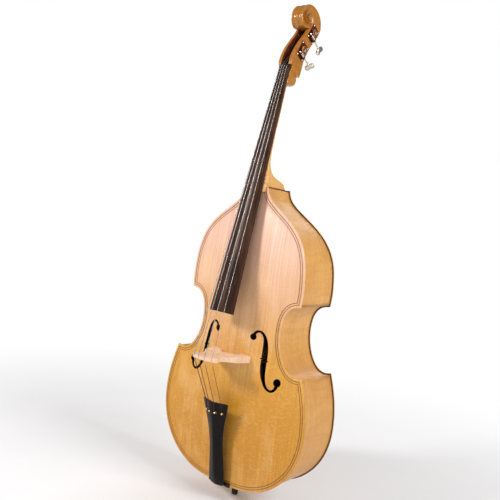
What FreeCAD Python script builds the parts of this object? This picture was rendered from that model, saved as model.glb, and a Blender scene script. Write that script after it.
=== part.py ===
import FreeCAD, Part
import os, math
from FreeCAD import Vector as V

# Double bass.  Lengths in millimetres, +Z up, the front faces -Y, +X is the treble side.
# Shapes are drawn in a body frame whose z = 0 is the lower edge of the front plate and whose
# y = 0 is the plane of the front's edge; EXPORT_SHIFT moves them so that the origin is the
# centre of the endpin tip's flat bottom.

os.makedirs("parts", exist_ok=True)

# ------------------------------------------------------------------ driving dimensions
BODY_LENGTH = 1112.0          # lower edge to the neck end of the front plate
RIB_DEPTH = 201.0             # front edge plane to the back's outer face at the lower bout
MID_DEPTH = RIB_DEPTH / 2.0   # endpin axis
FOOT_DROP = 68.0              # lower edge to the tip's flat bottom, endpin pushed in
OVERHANG = 5.0                # plate edge beyond the rib
RIB_T = 3.0
PLATE_T = 6.5
INNER_INSET = OVERHANG + RIB_T       # plate edge to the rib's inner face
RIB_TOP_Z = 1106.0
BLANK_Y = 215.0               # rear end of blanks that the back's profile then trims
EXPORT_SHIFT = V(0, -MID_DEPTH, FOOT_DROP)

NECK_ROOT_HALF = 43.0         # half width of the notch for the neck root
NECK_ROOT_Z = 1090.0
SADDLE_HALF, SADDLE_H = 48.0, 11.0
SOCKET_R = 14.0               # endpin hole through rib and end block

PEG_HALF_W = 30.0             # pegbox outer half width
PEG_INNER = 17.6              # pegbox inner half width

# Per string: radius, x at the tailpiece, bridge, nut and roller, y at the bridge, and the
# x direction in which its coils follow one another.
STRINGS = {
    "e": dict(radius=1.45, tail_x=-36.0, bridge_x=-42.0, nut_x=-15.5, peg_x=-13.2,
              bridge_y=-183.2, coil_dir=1),
    "a": dict(radius=1.2, tail_x=-12.5, bridge_x=-14.0, nut_x=-5.2, peg_x=-4.5,
              bridge_y=-190.2, coil_dir=-1),
    "d": dict(radius=1.0, tail_x=12.5, bridge_x=14.0, nut_x=5.2, peg_x=4.5,
              bridge_y=-190.2, coil_dir=1),
    "g": dict(radius=0.8, tail_x=36.0, bridge_x=42.0, nut_x=15.5, peg_x=12.4,
              bridge_y=-183.2, coil_dir=-1),
}


# ------------------------------------------------------------------ general helpers
def export(name, *shapes):
    """Write the solids of the given shapes to one STEP file."""
    found = [solid for shape in shapes for solid in shape.Solids]
    piece = (found[0] if len(found) == 1 else Part.makeCompound(found)).copy()
    piece.translate(EXPORT_SHIFT)
    piece.exportStep("parts/%s.step" % name)


def smooth(table, at):
    """Cubic Hermite through a table of (place, value) with finite-difference slopes."""
    if at <= table[0][0]:
        return table[0][1]
    n = len(table)
    for i in range(n - 1):
        if at <= table[i + 1][0]:
            x0, y0 = table[i]
            x1, y1 = table[i + 1]
            slope0 = slope1 = 0.0
            if i > 0:
                slope0 = (y1 - table[i - 1][1]) / (x1 - table[i - 1][0])
            if i < n - 2:
                slope1 = (table[i + 2][1] - y0) / (table[i + 2][0] - x0)
            h = float(x1 - x0)
            t = (at - x0) / h
            return ((2 * t ** 3 - 3 * t ** 2 + 1) * y0 + (t ** 3 - 2 * t ** 2 + t) * h * slope0 +
                    (-2 * t ** 3 + 3 * t ** 2) * y1 + (t ** 3 - t ** 2) * h * slope1)
    return table[-1][1]


def spline(points):
    curve = Part.BSplineCurve()
    curve.interpolate(points)
    return curve


def lines(points):
    """Straight edges from each point to the next."""
    return [Part.makeLine(a, b) for a, b in zip(points, points[1:])]


def sorted_face(edges):
    return Part.Face(Part.Wire(Part.__sortEdges__(edges)))


def closed_polygon(points):
    return Part.makePolygon(points + [points[0]])


def polygon_face(points):
    return Part.Face(closed_polygon(points))


def revolved(profile, y=0.0):
    """Revolve a closed (radius, z) profile about the vertical axis at depth y."""
    face = polygon_face([V(r, y, z) for r, z in profile])
    return face.revolve(V(0, y, 0), V(0, 0, 1), 360)


def grid_surface(rows):
    """Cubic B-spline surface with uniform clamped knots on a net of poles."""
    nu, nv = len(rows), len(rows[0])
    surface = Part.BSplineSurface()
    surface.buildFromPolesMultsKnots(rows, [4] + [1] * (nu - 4) + [4], [4] + [1] * (nv - 4) + [4],
                                     list(range(nu - 2)), list(range(nv - 2)),
                                     False, False, 3, 3)
    return surface


# ------------------------------------------------------------------ outline of the soundbox
# Right half as (x, z), from the neck end to the bottom: upper bout, waist, lower bout.
OUTLINE = {
    "U": [(48, 1112), (51.5, 1096), (61, 1077), (82, 1054), (106, 1035), (129, 1018),
          (152, 1001), (173, 983.5), (192, 965), (209, 945), (223, 923), (235, 898),
          (248.5, 852), (255, 808), (257.8, 765), (257.2, 730), (254.5, 702)],
    "C": [(254.5, 702), (238, 699), (224, 694.5), (211, 686), (199, 671.5), (190, 651),
          (185.5, 628), (184, 603), (185.8, 576), (192, 545), (205, 512), (223, 484),
          (241, 468.5), (259, 461.5), (277, 461), (294.3, 465)],
    "L": [(294.3, 465), (310, 418), (322.5, 370), (330, 323), (332.5, 280), (330.5, 237),
          (321, 190), (302, 143), (273, 100), (236, 63.5), (190, 33.5), (140, 13.5),
          (88, 3.8), (40, 0.6), (0, 0)],
}
SAMPLE_STEPS = {"U": 160, "C": 140, "L": 180}


def sample(points, steps):
    """(x, z, tangent x, tangent z) at equal parameter steps along the curve."""
    curve = spline([V(x, 0, z) for x, z in points])
    out = []
    first, last = curve.FirstParameter, curve.LastParameter
    for i in range(steps + 1):
        t = first + (last - first) * i / float(steps)
        p = curve.value(t)
        tangent = curve.tangent(t)[0]
        out.append((p.x, p.z, tangent.x, tangent.z))
    return out


SAMPLES = {bout: sample(OUTLINE[bout], SAMPLE_STEPS[bout]) for bout in "UCL"}


def offset_points(bout, inset):
    return [(x + inset * tz, z - inset * tx) for x, z, tx, tz in SAMPLES[bout]]


def crossing(first, second):
    """Segment indices and point where two polylines first cross."""
    for i in range(len(first) - 1):
        x1, z1 = first[i]
        x2, z2 = first[i + 1]
        for j in range(len(second) - 1):
            x3, z3 = second[j]
            x4, z4 = second[j + 1]
            den = (x2 - x1) * (z4 - z3) - (z2 - z1) * (x4 - x3)
            if abs(den) < 1e-12:
                continue
            t = ((x3 - x1) * (z4 - z3) - (z3 - z1) * (x4 - x3)) / den
            u = ((x3 - x1) * (z2 - z1) - (z3 - z1) * (x2 - x1)) / den
            if -1e-9 <= t <= 1 + 1e-9 and -1e-9 <= u <= 1 + 1e-9:
                return i, j, (x1 + t * (x2 - x1), z1 + t * (z2 - z1))


def half_outline(inset, top=None):
    """Right half offset inward, as points per bout, mitred at the corners and cut off at top."""
    if inset == 0:
        upper, waist, lower = [[(s[0], s[1]) for s in SAMPLES[bout]] for bout in "UCL"]
    else:
        upper, waist, lower = [offset_points(bout, inset) for bout in "UCL"]
        i, j, corner = crossing(upper, waist)
        upper = upper[:i + 1] + [corner]
        waist = [corner] + waist[j + 1:]
        i, j, corner = crossing(waist, lower)
        waist = waist[:i + 1] + [corner]
        lower = [corner] + lower[j + 1:]
        lower[-1] = (0.0, lower[-1][1])
    z_top = (BODY_LENGTH - inset) if top is None else top
    if upper[0][1] > z_top:
        k = 0
        while upper[k + 1][1] > z_top:
            k += 1
        a, b = upper[k], upper[k + 1]
        t = (a[1] - z_top) / (a[1] - b[1])
        upper = [(a[0] + t * (b[0] - a[0]), z_top)] + upper[k + 1:]
    return {"U": upper, "C": waist, "L": lower}


def distance(a, b):
    return math.hypot(a[0] - b[0], a[1] - b[1])


def spaced(points, gap=1.2):
    """Drop points closer than gap to the one before, keeping both ends."""
    out = [points[0]]
    for p in points[1:-1]:
        if distance(p, out[-1]) > gap:
            out.append(p)
    while len(out) > 1 and distance(points[-1], out[-1]) <= gap:
        out.pop()
    out.append(points[-1])
    return out


def thinned(points, keep):
    """At most keep points, evenly picked by index."""
    n = len(points)
    if n <= keep:
        return points
    return [points[int(round(i * (n - 1) / float(keep - 1)))] for i in range(keep)]


def bout_edge(points, mirror=False, keep=34, y=0.0):
    side = -1.0 if mirror else 1.0
    return spline([V(side * p[0], y, p[1]) for p in thinned(spaced(points), keep)]).toShape()


def straight(a, b, mirror=False, y=0.0):
    side = -1.0 if mirror else 1.0
    return Part.makeLine(V(side * a[0], y, a[1]), V(side * b[0], y, b[1]))


def outline_prism(inset, y0, y1, top=None):
    """The whole outline, offset inward, between two depths."""
    half = half_outline(inset, top)
    x, z = half["U"][0]
    edges = [straight((-x, z), (x, z), y=y0)]
    edges += [bout_edge(half[bout], y=y0) for bout in "UCL"]
    edges += [bout_edge(half[bout], True, y=y0) for bout in "LCU"]
    return sorted_face(edges).extrude(V(0, y1 - y0, 0))


def ring_prism(outer_inset, inner_inset, y0, y1):
    return outline_prism(outer_inset, y0, y1).cut(outline_prism(inner_inset, y0 - 1, y1 + 1))


# ------------------------------------------------------------------ profile of the bent back
# (z, y of the outer face)
BACK_PROFILE = [(-20, 201.0), (700, 201.0), (800, 200.5), (850, 198.0), (890, 191.0),
                (930, 180.5), (970, 168.0), (1010, 157.0), (1050, 150.0), (1085, 147.5),
                (1125, 147.0)]
BACK_BEND_Z = 700             # the back is flat below this height
BACK_STEP, BACK_STATIONS = 14.0, 31
LINING_H = 20.0
PURFLING_DEPTH = 2.0


def back_region(shift):
    """Everything in front of the back's outer face moved forward by shift."""
    x, y_front, z_low, z_high = -400, -200.0, -50, 1300
    zs = [BACK_BEND_Z + i * BACK_STEP for i in range(BACK_STATIONS)]
    bend = Part.BSplineCurve()
    bend.interpolate(Points=[V(x, smooth(BACK_PROFILE, z) - shift, z) for z in zs],
                     InitialTangent=V(0, 0, 1), FinalTangent=V(0, 0, 1))
    y_flat = RIB_DEPTH - shift
    end = bend.value(bend.LastParameter)
    edges = lines([V(x, y_flat, z_low), V(x, y_flat, BACK_BEND_Z)])
    edges.append(bend.toShape())
    edges += lines([V(x, end.y, end.z), V(x, end.y, z_high), V(x, y_front, z_high),
                    V(x, y_front, z_low), V(x, y_flat, z_low)])
    return sorted_face(edges).extrude(V(-2 * x, 0, 0))


BACK_OUTSIDE = back_region(0.0)
BACK_INSIDE = back_region(PLATE_T)
BACK_LINING_FRONT = back_region(PLATE_T + LINING_H)
BACK_PURFLING_BED = back_region(PURFLING_DEPTH)

# ------------------------------------------------------------------ carved arch of the front
ARCH = 32.0                   # rise of the arch
# (z, half width of the arched area)
ARCH_HALF_W = [(22, 0), (33, 118), (63, 185), (101, 232), (143, 264), (190, 286), (240, 298),
               (280, 301), (320, 298), (370, 284), (418, 254), (465, 214), (512, 180),
               (546, 166), (575, 161), (605, 159), (640, 162), (671, 171), (702, 187),
               (740, 206), (780, 218), (820, 222), (860, 217), (898, 203), (923, 189),
               (945, 175), (965, 156), (983, 137), (1001, 115), (1018, 92), (1035, 68),
               (1054, 42), (1075, 16), (1090, 0)]
ARCH_MID_Z, ARCH_HALF_LEN = BODY_LENGTH / 2.0, 534.0
ARCH_NX, ARCH_NZ = 45, 61     # poles across and along
ARCH_X0, ARCH_WIDTH = -352.0, 704.0
ARCH_Z0, ARCH_HEIGHT = -22.0, 1154.0


def arch_rise(x, z):
    along = abs(z - ARCH_MID_Z) / ARCH_HALF_LEN
    if along >= 1:
        return 0.0
    crown = ARCH * (1 - along ** 3.5) ** 1.5
    half_width = smooth(ARCH_HALF_W, z)
    if half_width <= 1:
        return 0.0
    across = abs(x) / half_width
    if across >= 1:
        return 0.0
    return crown * (1 - across * across) ** 1.5


def behind_arch():
    """Everything behind the front's outer surface."""
    xs = [ARCH_X0 + ARCH_WIDTH * i / (ARCH_NX - 1) for i in range(ARCH_NX)]
    zs = [ARCH_Z0 + ARCH_HEIGHT * i / (ARCH_NZ - 1) for i in range(ARCH_NZ)]
    surface = grid_surface([[V(x, -arch_rise(x, z), z) for z in zs] for x in xs])
    return surface.toShape().extrude(V(0, 400, 0))


ARCH_OUTSIDE = behind_arch()
ARCH_INSIDE = ARCH_OUTSIDE.translated(V(0, PLATE_T, 0))
FIT_GAP = 0.05                # between an arched face and what stands on it
UNDER_ARCH = ARCH_INSIDE.translated(V(0, FIT_GAP, 0))

# ------------------------------------------------------------------ plates and purfling
PURFLING_OFFSETS = (9.0, 17.0)
PURFLING_W = 2.0
# f-hole centre line, from the upper eye to the lower: (x, z, half width)
F_MID = [(86, 574, 5.0), (90, 585, 3.6), (103, 592, 2.6), (117, 587, 3.2), (127, 573, 4.8),
         (132.5, 552, 7.4), (135.5, 525, 9.2), (137, 498, 10.0), (138.5, 470, 9.6),
         (143, 442, 7.8), (152, 417, 5.2), (166, 399, 3.4), (183, 394.5, 2.8),
         (196, 404, 3.8), (201, 420, 5.5)]
F_STEPS = 46
F_EYES = [((84, 569.5), 10.5), ((201, 428), 13.0)]           # (x, z), radius
F_NOTCHES = [(147.0, 4.5, 493.0), (127.0, -4.5, 499.0)]      # x, reach in x, z
NOTCH_HALF = 3.2
F_Y, F_CUT = -90, 110         # front end and length of the cutters


def f_hole(side):
    middle = spline([V(x, 0, z) for x, z, _ in F_MID])
    first, last = middle.FirstParameter, middle.LastParameter
    widths = [(middle.parameter(V(x, 0, z)), w) for x, z, w in F_MID]
    left, right = [], []
    for i in range(F_STEPS + 1):
        t = first + (last - first) * i / float(F_STEPS)
        p = middle.value(t)
        tangent = middle.tangent(t)[0]
        w = smooth(widths, t)
        left.append(V(side * (p.x + w * tangent.z), F_Y, p.z - w * tangent.x))
        right.append(V(side * (p.x - w * tangent.z), F_Y, p.z + w * tangent.x))
    edges = [spline(left).toShape(), spline(right).toShape(),
             Part.makeLine(left[0], right[0]), Part.makeLine(left[-1], right[-1])]
    cutter = sorted_face(edges).extrude(V(0, F_CUT, 0))
    for (x, z), radius in F_EYES:
        cutter = cutter.fuse(Part.makeCylinder(radius, F_CUT, V(side * x, F_Y, z), V(0, 1, 0)))
    for x, reach, z in F_NOTCHES:
        base_x = x - reach * 0.8
        notch = polygon_face([V(side * base_x, F_Y, z + NOTCH_HALF), V(side * (x + reach), F_Y, z),
                              V(side * base_x, F_Y, z - NOTCH_HALF)])
        cutter = cutter.fuse(notch.extrude(V(0, F_CUT, 0)))
    return cutter


def front_plate():
    """Carved front and its purfling strips."""
    plate = outline_prism(0.0, -80, 60).common(ARCH_OUTSIDE).cut(ARCH_INSIDE)
    for side in (1, -1):
        plate = plate.cut(f_hole(side))
    saddle_notch = Part.makeBox(2 * SADDLE_HALF, 40, SADDLE_H + 20, V(-SADDLE_HALF, -20, -20))
    root_notch = Part.makeBox(2 * NECK_ROOT_HALF, 60, 60, V(-NECK_ROOT_HALF, -40, NECK_ROOT_Z))
    strips = []
    for inset in PURFLING_OFFSETS:
        strip = ring_prism(inset, inset + PURFLING_W, -3.0, PURFLING_DEPTH)
        strip = strip.common(ARCH_OUTSIDE).cut(saddle_notch).cut(root_notch)
        strips.append(strip)
        plate = plate.cut(strip)
    return plate.cut(saddle_notch).cut(root_notch), strips


def back_plate():
    """Bent back and its purfling strips."""
    plate = outline_prism(0.0, 100, 230).common(BACK_OUTSIDE).cut(BACK_INSIDE)
    strips = []
    for inset in PURFLING_OFFSETS:
        strip = ring_prism(inset, inset + PURFLING_W, 100, BLANK_Y)
        strip = strip.common(BACK_OUTSIDE).cut(BACK_PURFLING_BED)
        strips.append(strip)
        plate = plate.cut(strip)
    return plate, strips


for place, build in (("top", front_plate), ("back", back_plate)):
    plate, strips = build()
    export(place + "_plate", plate)
    export(place + "_purfling", *strips)

# ------------------------------------------------------------------ ribs, blocks and linings
RIB_NAMES = {"U": "rib_upper", "C": "rib_centre", "L": "rib_lower"}
BLOCK_GAP = 0.15
BLOCK_REACH = (("U", "C", 46.0), ("C", "L", 50.0))   # two bouts, reach from their corner
NECK_BLOCK_HALF, NECK_BLOCK_Z = 80, 1040.0
END_HALF, END_TOP = 60.0, 52.0
LINING_T = 7.0
LINING_GAP = 0.1
CORNER_REACH = {"U": (0.0, 52.0), "C": (52.0, 56.0), "L": (56.0, 0.0)}  # kept free at the ends

endpin_hole = Part.makeCylinder(SOCKET_R, 120, V(0, MID_DEPTH, -40), V(0, 0, 1))


def strip_face(outer, inner, mirror):
    """Face between two runs of points, in the plane of the front's inner edge."""
    return sorted_face([bout_edge(outer, mirror, y=PLATE_T), bout_edge(inner, mirror, y=PLATE_T),
                        straight(outer[0], inner[0], mirror, PLATE_T),
                        straight(outer[-1], inner[-1], mirror, PLATE_T)])


def rib(bout, mirror):
    outer = half_outline(OVERHANG, RIB_TOP_Z)[bout]
    inner = half_outline(INNER_INSET, RIB_TOP_Z)[bout]
    strip = strip_face(outer, inner, mirror).extrude(V(0, BLANK_Y - PLATE_T, 0))
    strip = strip.common(BACK_INSIDE)
    return strip.cut(endpin_hole) if bout == "L" else strip


def corner_block(first, second, reach, mirror):
    """Block between the inner faces of two ribs and a chord across them."""
    half = half_outline(INNER_INSET + BLOCK_GAP, RIB_TOP_Z)
    corner = half[first][-1]
    a = [p for p in half[first] if distance(p, corner) < reach]
    b = [p for p in half[second] if distance(p, corner) < reach]
    face = sorted_face([bout_edge(a, mirror, 12, PLATE_T), bout_edge(b, mirror, 12, PLATE_T),
                        straight(a[0], b[-1], mirror, PLATE_T)])
    return face.extrude(V(0, 210, 0)).common(BACK_INSIDE).Solids[0]


def lining_face(bout, mirror):
    samples = SAMPLES[bout]
    start_reach, end_reach = CORNER_REACH[bout]

    def is_clear(p):
        at_end_block = bout == "L" and p[0] < END_HALF + 8 and p[1] < 100
        return (distance(p, samples[0]) > start_reach + 8.0
                and distance(p, samples[-1]) > end_reach + 8.0
                and p[1] < NECK_BLOCK_Z - 10 and not at_end_block)

    kept = [i for i, p in enumerate(samples) if is_clear(p)]
    outer = offset_points(bout, INNER_INSET + LINING_GAP)
    inner = offset_points(bout, INNER_INSET + LINING_T)
    return strip_face([outer[i] for i in kept], [inner[i] for i in kept], mirror)


for bout in "UCL":
    for mirror, side_name in ((True, "bass"), (False, "treble")):
        export("%s_%s" % (RIB_NAMES[bout], side_name), rib(bout, mirror))

export("corner_blocks", *[corner_block(first, second, reach, mirror)
                          for mirror in (False, True) for first, second, reach in BLOCK_REACH])

lining_faces = [lining_face(bout, mirror) for bout in "UCL" for mirror in (False, True)]
export("linings_top", *[face.extrude(V(0, LINING_H, 0)) for face in lining_faces])
export("linings_back", *[face.extrude(V(0, BLANK_Y - PLATE_T, 0)).common(BACK_INSIDE)
                         .cut(BACK_LINING_FRONT) for face in lining_faces])

inner_prism = outline_prism(INNER_INSET, PLATE_T, BLANK_Y, RIB_TOP_Z).common(BACK_INSIDE)
neck_block_blank = inner_prism.common(
    Part.makeBox(2 * NECK_BLOCK_HALF, 220, 100, V(-NECK_BLOCK_HALF, 0, NECK_BLOCK_Z)))
end_block = inner_prism.common(
    Part.makeBox(2 * END_HALF, 220, END_TOP + 20, V(-END_HALF, 0, -20))).cut(endpin_hole)
export("end_block", end_block)

# ------------------------------------------------------------------ bass bar, post, back braces
# Rear edge of the bass bar: (y, z)
BAR_REAR = [(12, 185), (18, 260), (25, 400), (27, 500), (25, 620), (18, 780), (10, 900),
            (7.6, 955)]
POST_X, POST_Z, POST_R = 62.0, 462.0, 9.0
BRACES = [(230.0, 640, 26), (455.0, 452, 46), (660.0, 366, 26), (820.0, 500, 26)]  # z, width, height
BRACE_DEPTH = 26.0
BRACE_FRONT_Y = RIB_DEPTH - PLATE_T - BRACE_DEPTH


def bass_bar():
    """Bar below the bass side, following the inside of the carved front."""
    bar = Part.makeBox(18, 70, 760, V(-74, -30, 190)).common(UNDER_ARCH)
    rear = spline([V(-80, y, z) for y, z in BAR_REAR])
    beyond = Part.makePolygon([V(-80, 7.6, 955), V(-80, 80, 955), V(-80, 80, 185),
                               V(-80, 12, 185)])
    waste = Part.Face(Part.Wire([rear.toShape(), beyond]))
    return bar.cut(waste.extrude(V(40, 0, 0)))


def sound_post():
    post = Part.makeCylinder(POST_R, 260, V(POST_X, -40, POST_Z), V(0, 1, 0))
    post = post.common(UNDER_ARCH)
    return post.cut(Part.makeBox(100, 100, 100, V(POST_X - 50, BRACE_FRONT_Y, POST_Z - 50)))


def back_brace(z, width, height):
    brace = Part.makeBox(width, BRACE_DEPTH, height,
                         V(-width / 2.0, BRACE_FRONT_Y, z - height / 2.0))
    inside = outline_prism(INNER_INSET + LINING_T + 0.3, 100, BLANK_Y)
    return brace.common(inside).common(BACK_INSIDE)


export("bass_bar", bass_bar())
export("sound_post", sound_post())
export("back_braces", *[back_brace(*row) for row in BRACES])

# ------------------------------------------------------------------ fingerboard and nut
NUT_Y, NUT_Z = 64.0, 1564.0   # crown of the fingerboard at the nut
BOARD_SLOPE = 0.223           # forward travel of the fingerboard per unit of height
BOARD_LEN = 935.0
BOARD_W0, BOARD_W1 = 22.0, 52.0      # half widths at the nut and at the free end
BOARD_SAG0, BOARD_SAG1 = 4.2, 22.0   # crown to the side edges, at the same places
BOARD_SIDE = 10.5             # height of the straight sides
SCOOP_START = 505.0           # hollow under the free end, measured from the nut
SCOOP_WALL = 7.0
NUT_LEN = 8.5
NUT_RISE = 2.0

SLOPE_LEN = math.sqrt(1 + BOARD_SLOPE ** 2)
BOARD_DIR = V(0, -BOARD_SLOPE / SLOPE_LEN, -1 / SLOPE_LEN)    # from the nut towards the bridge
BOARD_OUT = V(0, -1 / SLOPE_LEN, BOARD_SLOPE / SLOPE_LEN)     # out of the fingerboard
BOARD_ORIGIN = V(0, NUT_Y, NUT_Z)


def board_point(along, out, x):
    return BOARD_ORIGIN + BOARD_DIR * along + BOARD_OUT * out + V(x, 0, 0)


def board_dims(along):
    """Half width, sag, and level of the flat underside below the crown."""
    t = along / BOARD_LEN
    sag = BOARD_SAG0 + (BOARD_SAG1 - BOARD_SAG0) * t
    return BOARD_W0 + (BOARD_W1 - BOARD_W0) * t, sag, -(sag + BOARD_SIDE)


def board_section(along, dims, rise=0.0):
    w, sag, low = dims
    left, right = board_point(along, -sag + rise, -w), board_point(along, -sag + rise, w)
    arc = Part.Arc(left, board_point(along, rise, 0), right).toShape()
    return Part.Wire([arc] + lines([right, board_point(along, low, w),
                                    board_point(along, low, -w), left]))


def scoop_section(along, depth_share):
    w, sag, low = board_dims(along)
    w -= SCOOP_WALL
    left, right = board_point(along, low - 1, -w), board_point(along, low - 1, w)
    middle = board_point(along, low + 1 + (sag * 0.75) * depth_share, 0)
    return Part.Wire([Part.Arc(left, middle, right).toShape(), Part.makeLine(right, left)])


def make_fingerboard():
    board = Part.makeLoft([board_section(s, board_dims(s)) for s in (0.0, BOARD_LEN)], True, True)
    scoop = Part.makeLoft([scoop_section(SCOOP_START, 0.25),
                           scoop_section(BOARD_LEN + 5, 1.0)], True, True)
    board = board.cut(scoop)
    # The crown arc of the free end is rounded; the board stays sharp if the fillet fails.
    try:
        limit_y = board_point(BOARD_LEN, -15, 0).y
        rim = [e for e in board.Edges
               if all(abs((v.Point - BOARD_ORIGIN).dot(BOARD_DIR) - BOARD_LEN) < 0.01
                      for v in e.Vertexes)
               and e.Length > 60 and e.Curve.TypeId != 'Part::GeomLine'
               and e.CenterOfMass.y < limit_y]
        if rim:
            board = board.makeFillet(1.5, rim[:1])
    except Exception:
        pass
    return board


fingerboard = make_fingerboard()
nut_blank = Part.makeLoft([board_section(s, board_dims(0.0), NUT_RISE)
                           for s in (-NUT_LEN, 0.0)], True, True)
export("fingerboard", fingerboard)


def under_board_y(z):
    """y of the fingerboard's flat underside at height z, by bisection."""
    low, high = 0.0, BOARD_LEN
    for _ in range(40):
        middle = (low + high) / 2.0
        if board_point(middle, board_dims(middle)[2], 0).z > z:
            low = middle
        else:
            high = middle
    return board_point(low, board_dims(low)[2], 0).y


# ------------------------------------------------------------------ neck: chin, shaft and heel
CHIN_Z = 1541.0
HEEL_Z = 1112.0
# Rear profile: (z, y)
NECK_BACK = [(1112, 146.5), (1118, 146.0), (1124, 144.0), (1130, 139.0), (1135, 131.0),
             (1139, 119.0), (1143, 104.0), (1147, 88.0), (1152, 71.0), (1158, 57.0),
             (1166, 48.0), (1177, 42.5), (1192, 40.0), (1212, 40.0), (1250, 43.0),
             (1300, 49.0), (1350, 57.5), (1400, 67.0), (1440, 74.5), (1470, 80.5),
             (1486, 84.0), (1494, 88.0), (1498, 98.0), (1501, 112.0), (1506, 127.0),
             (1513, 137.0), (1521, 142.0), (1530, 142.0), (1537, 139.5), (1541, 137.5)]
# Heights of the rows of poles
NECK_STATIONS = [1541, 1536, 1530, 1524, 1517, 1511, 1506, 1502, 1499, 1496, 1492, 1486,
                 1478, 1466, 1450, 1425, 1395, 1360, 1320, 1280, 1245, 1215, 1196, 1182,
                 1172, 1164, 1158, 1152, 1147, 1143, 1139, 1135, 1130, 1124, 1118, 1112]
SECTION_STEPS = 20
ROOT_HALF = NECK_ROOT_HALF - 0.5
TENON_HALF, TENON_REAR_Y, TENON_LOW_Z = 34.0, 120.0, 1078.0


def neck_row(z):
    """Poles of one superelliptic half section, squarer at the heel and the chin."""
    y_front = under_board_y(z)
    y_back = smooth(NECK_BACK, z)
    w = board_dims((NUT_Z - z) * SLOPE_LEN)[0] - 0.6
    if z > 1480:
        w = 22.5 + (z - 1480) * 0.05
    heel = max(0.0, min(1.0, (1215 - z) / 80.0))
    heel = heel * heel * (3 - 2 * heel)
    w = w + (ROOT_HALF - w) * heel
    chin = max(0.0, min(1.0, (z - 1488) / 20.0))
    power = 2.15 + 2.6 * heel + 1.4 * chin
    row = []
    for j in range(SECTION_STEPS + 1):
        angle = math.pi * j / SECTION_STEPS
        cos, sin = math.cos(angle), math.sin(angle)
        across = abs(cos) ** (2.0 / power) * (1 if cos >= 0 else -1)
        depth = abs(sin) ** (2.0 / power)
        taper = 1.0 - 0.10 * heel * depth
        row.append(V(-w * across * taper, y_front + (y_back - y_front) * depth, z))
    return row


def skin(rows):
    """Solid of a cubic surface on a net of rows, a ruled front and two flat ends."""
    surface = grid_surface(rows)
    u0, u1, v0, v1 = surface.bounds()
    faces = [surface.toShape(),
             Part.makeRuledSurface(surface.vIso(v0).toShape(), surface.vIso(v1).toShape())]
    for u in (u0, u1):
        chord = Part.makeLine(surface.value(u, v0), surface.value(u, v1))
        faces.append(Part.Face(Part.Wire([surface.uIso(u).toShape(), chord])))
    sewn = Part.makeCompound(faces)
    sewn.sewShape()
    # Sewing may leave no shell in the compound; the faces are then joined directly.
    shell = sewn.Shells[0] if sewn.Shells else Part.Shell(faces)
    solid = Part.Solid(shell)
    if solid.Volume < 0:
        solid.reverse()
    return solid


def make_neck(tenon):
    """Neck with the root let into the front and the tenon in the neck block."""
    neck = skin([neck_row(z) for z in NECK_STATIONS])
    root = polygon_face([V(-ROOT_HALF, under_board_y(HEEL_Z), HEEL_Z),
                         V(-ROOT_HALF, under_board_y(NECK_ROOT_Z), NECK_ROOT_Z),
                         V(-ROOT_HALF, PLATE_T, NECK_ROOT_Z), V(-ROOT_HALF, PLATE_T, HEEL_Z)])
    root = root.extrude(V(2 * ROOT_HALF, 0, 0))
    neck = neck.fuse(root).fuse(tenon).removeSplitter()
    return neck.cut(nut_blank).cut(fingerboard)


tenon = Part.makeBox(2 * TENON_HALF, TENON_REAR_Y - PLATE_T, HEEL_Z - TENON_LOW_Z,
                     V(-TENON_HALF, PLATE_T, TENON_LOW_Z))
neck = make_neck(tenon)
export("neck", neck)
export("neck_block", neck_block_blank.cut(tenon))

# ------------------------------------------------------------------ tuning machines
# Roller centre (y, z), side in x, tilt of the plate's long axis back from vertical, and
# turn of the key's wings about its shaft, both in degrees.
MACHINES = {
    "e": dict(centre=(113.0, 1610.0), side=-1, tilt=22.5, turn=25.0),
    "g": dict(centre=(131.0, 1640.0), side=1, tilt=26.5, turn=62.0),
    "a": dict(centre=(161.0, 1681.0), side=-1, tilt=29.0, turn=-35.0),
    "d": dict(centre=(187.0, 1721.0), side=1, tilt=32.0, turn=10.0),
}
GEAR_TEETH = 20
GEAR_MODULE = 1.7
GEAR_R = GEAR_MODULE * GEAR_TEETH / 2.0
GEAR_HALF = 2.5               # half thickness
WORM_R = 5.0                  # worm pitch radius
CENTRE_DIST = GEAR_R + WORM_R
ROLLER_R, ROLLER_CLEAR = 6.2, 0.06
ROLLER_END_R = 4.0            # reduced end that carries the gear
SHAFT_R, SHAFT_CLEAR = 3.0, 0.06
PLATE_THICK = 2.0
PLATE_FACE_X = PEG_HALF_W + PLATE_THICK      # outer face of the machine plate
SHOULDER_X = PLATE_FACE_X + 0.3              # where the roller steps down and the gear hub starts
WORM_OUT = 7.2                # worm axis above the machine plate
WORM_X = PLATE_FACE_X + WORM_OUT
FAR_X = PEG_HALF_W - 5.0      # reach of the roller into the opposite cheek
PLATE_A0, PLATE_A1, PLATE_HALF = -35.0, 31.0, 22.0   # plate ends on its long axis, half width
BEARING_IN, BEARING_OUT, BEARING_R = 11.6, 16.6, 5.2
SCREW_R, SCREW_HEAD_R, SCREW_LEN = 1.9, 3.4, 13
SCREW_EDGE = 4.5              # screw axis from the plate's edges
SCREW_PLACES = [(along, across) for along in (PLATE_A0 + SCREW_EDGE, PLATE_A1 - SCREW_EDGE)
                for across in (-PLATE_HALF + SCREW_EDGE, PLATE_HALF - SCREW_EDGE)]
GEAR_SCREW_R = 1.6
GEAR_FACE_X = WORM_X + GEAR_HALF


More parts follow.
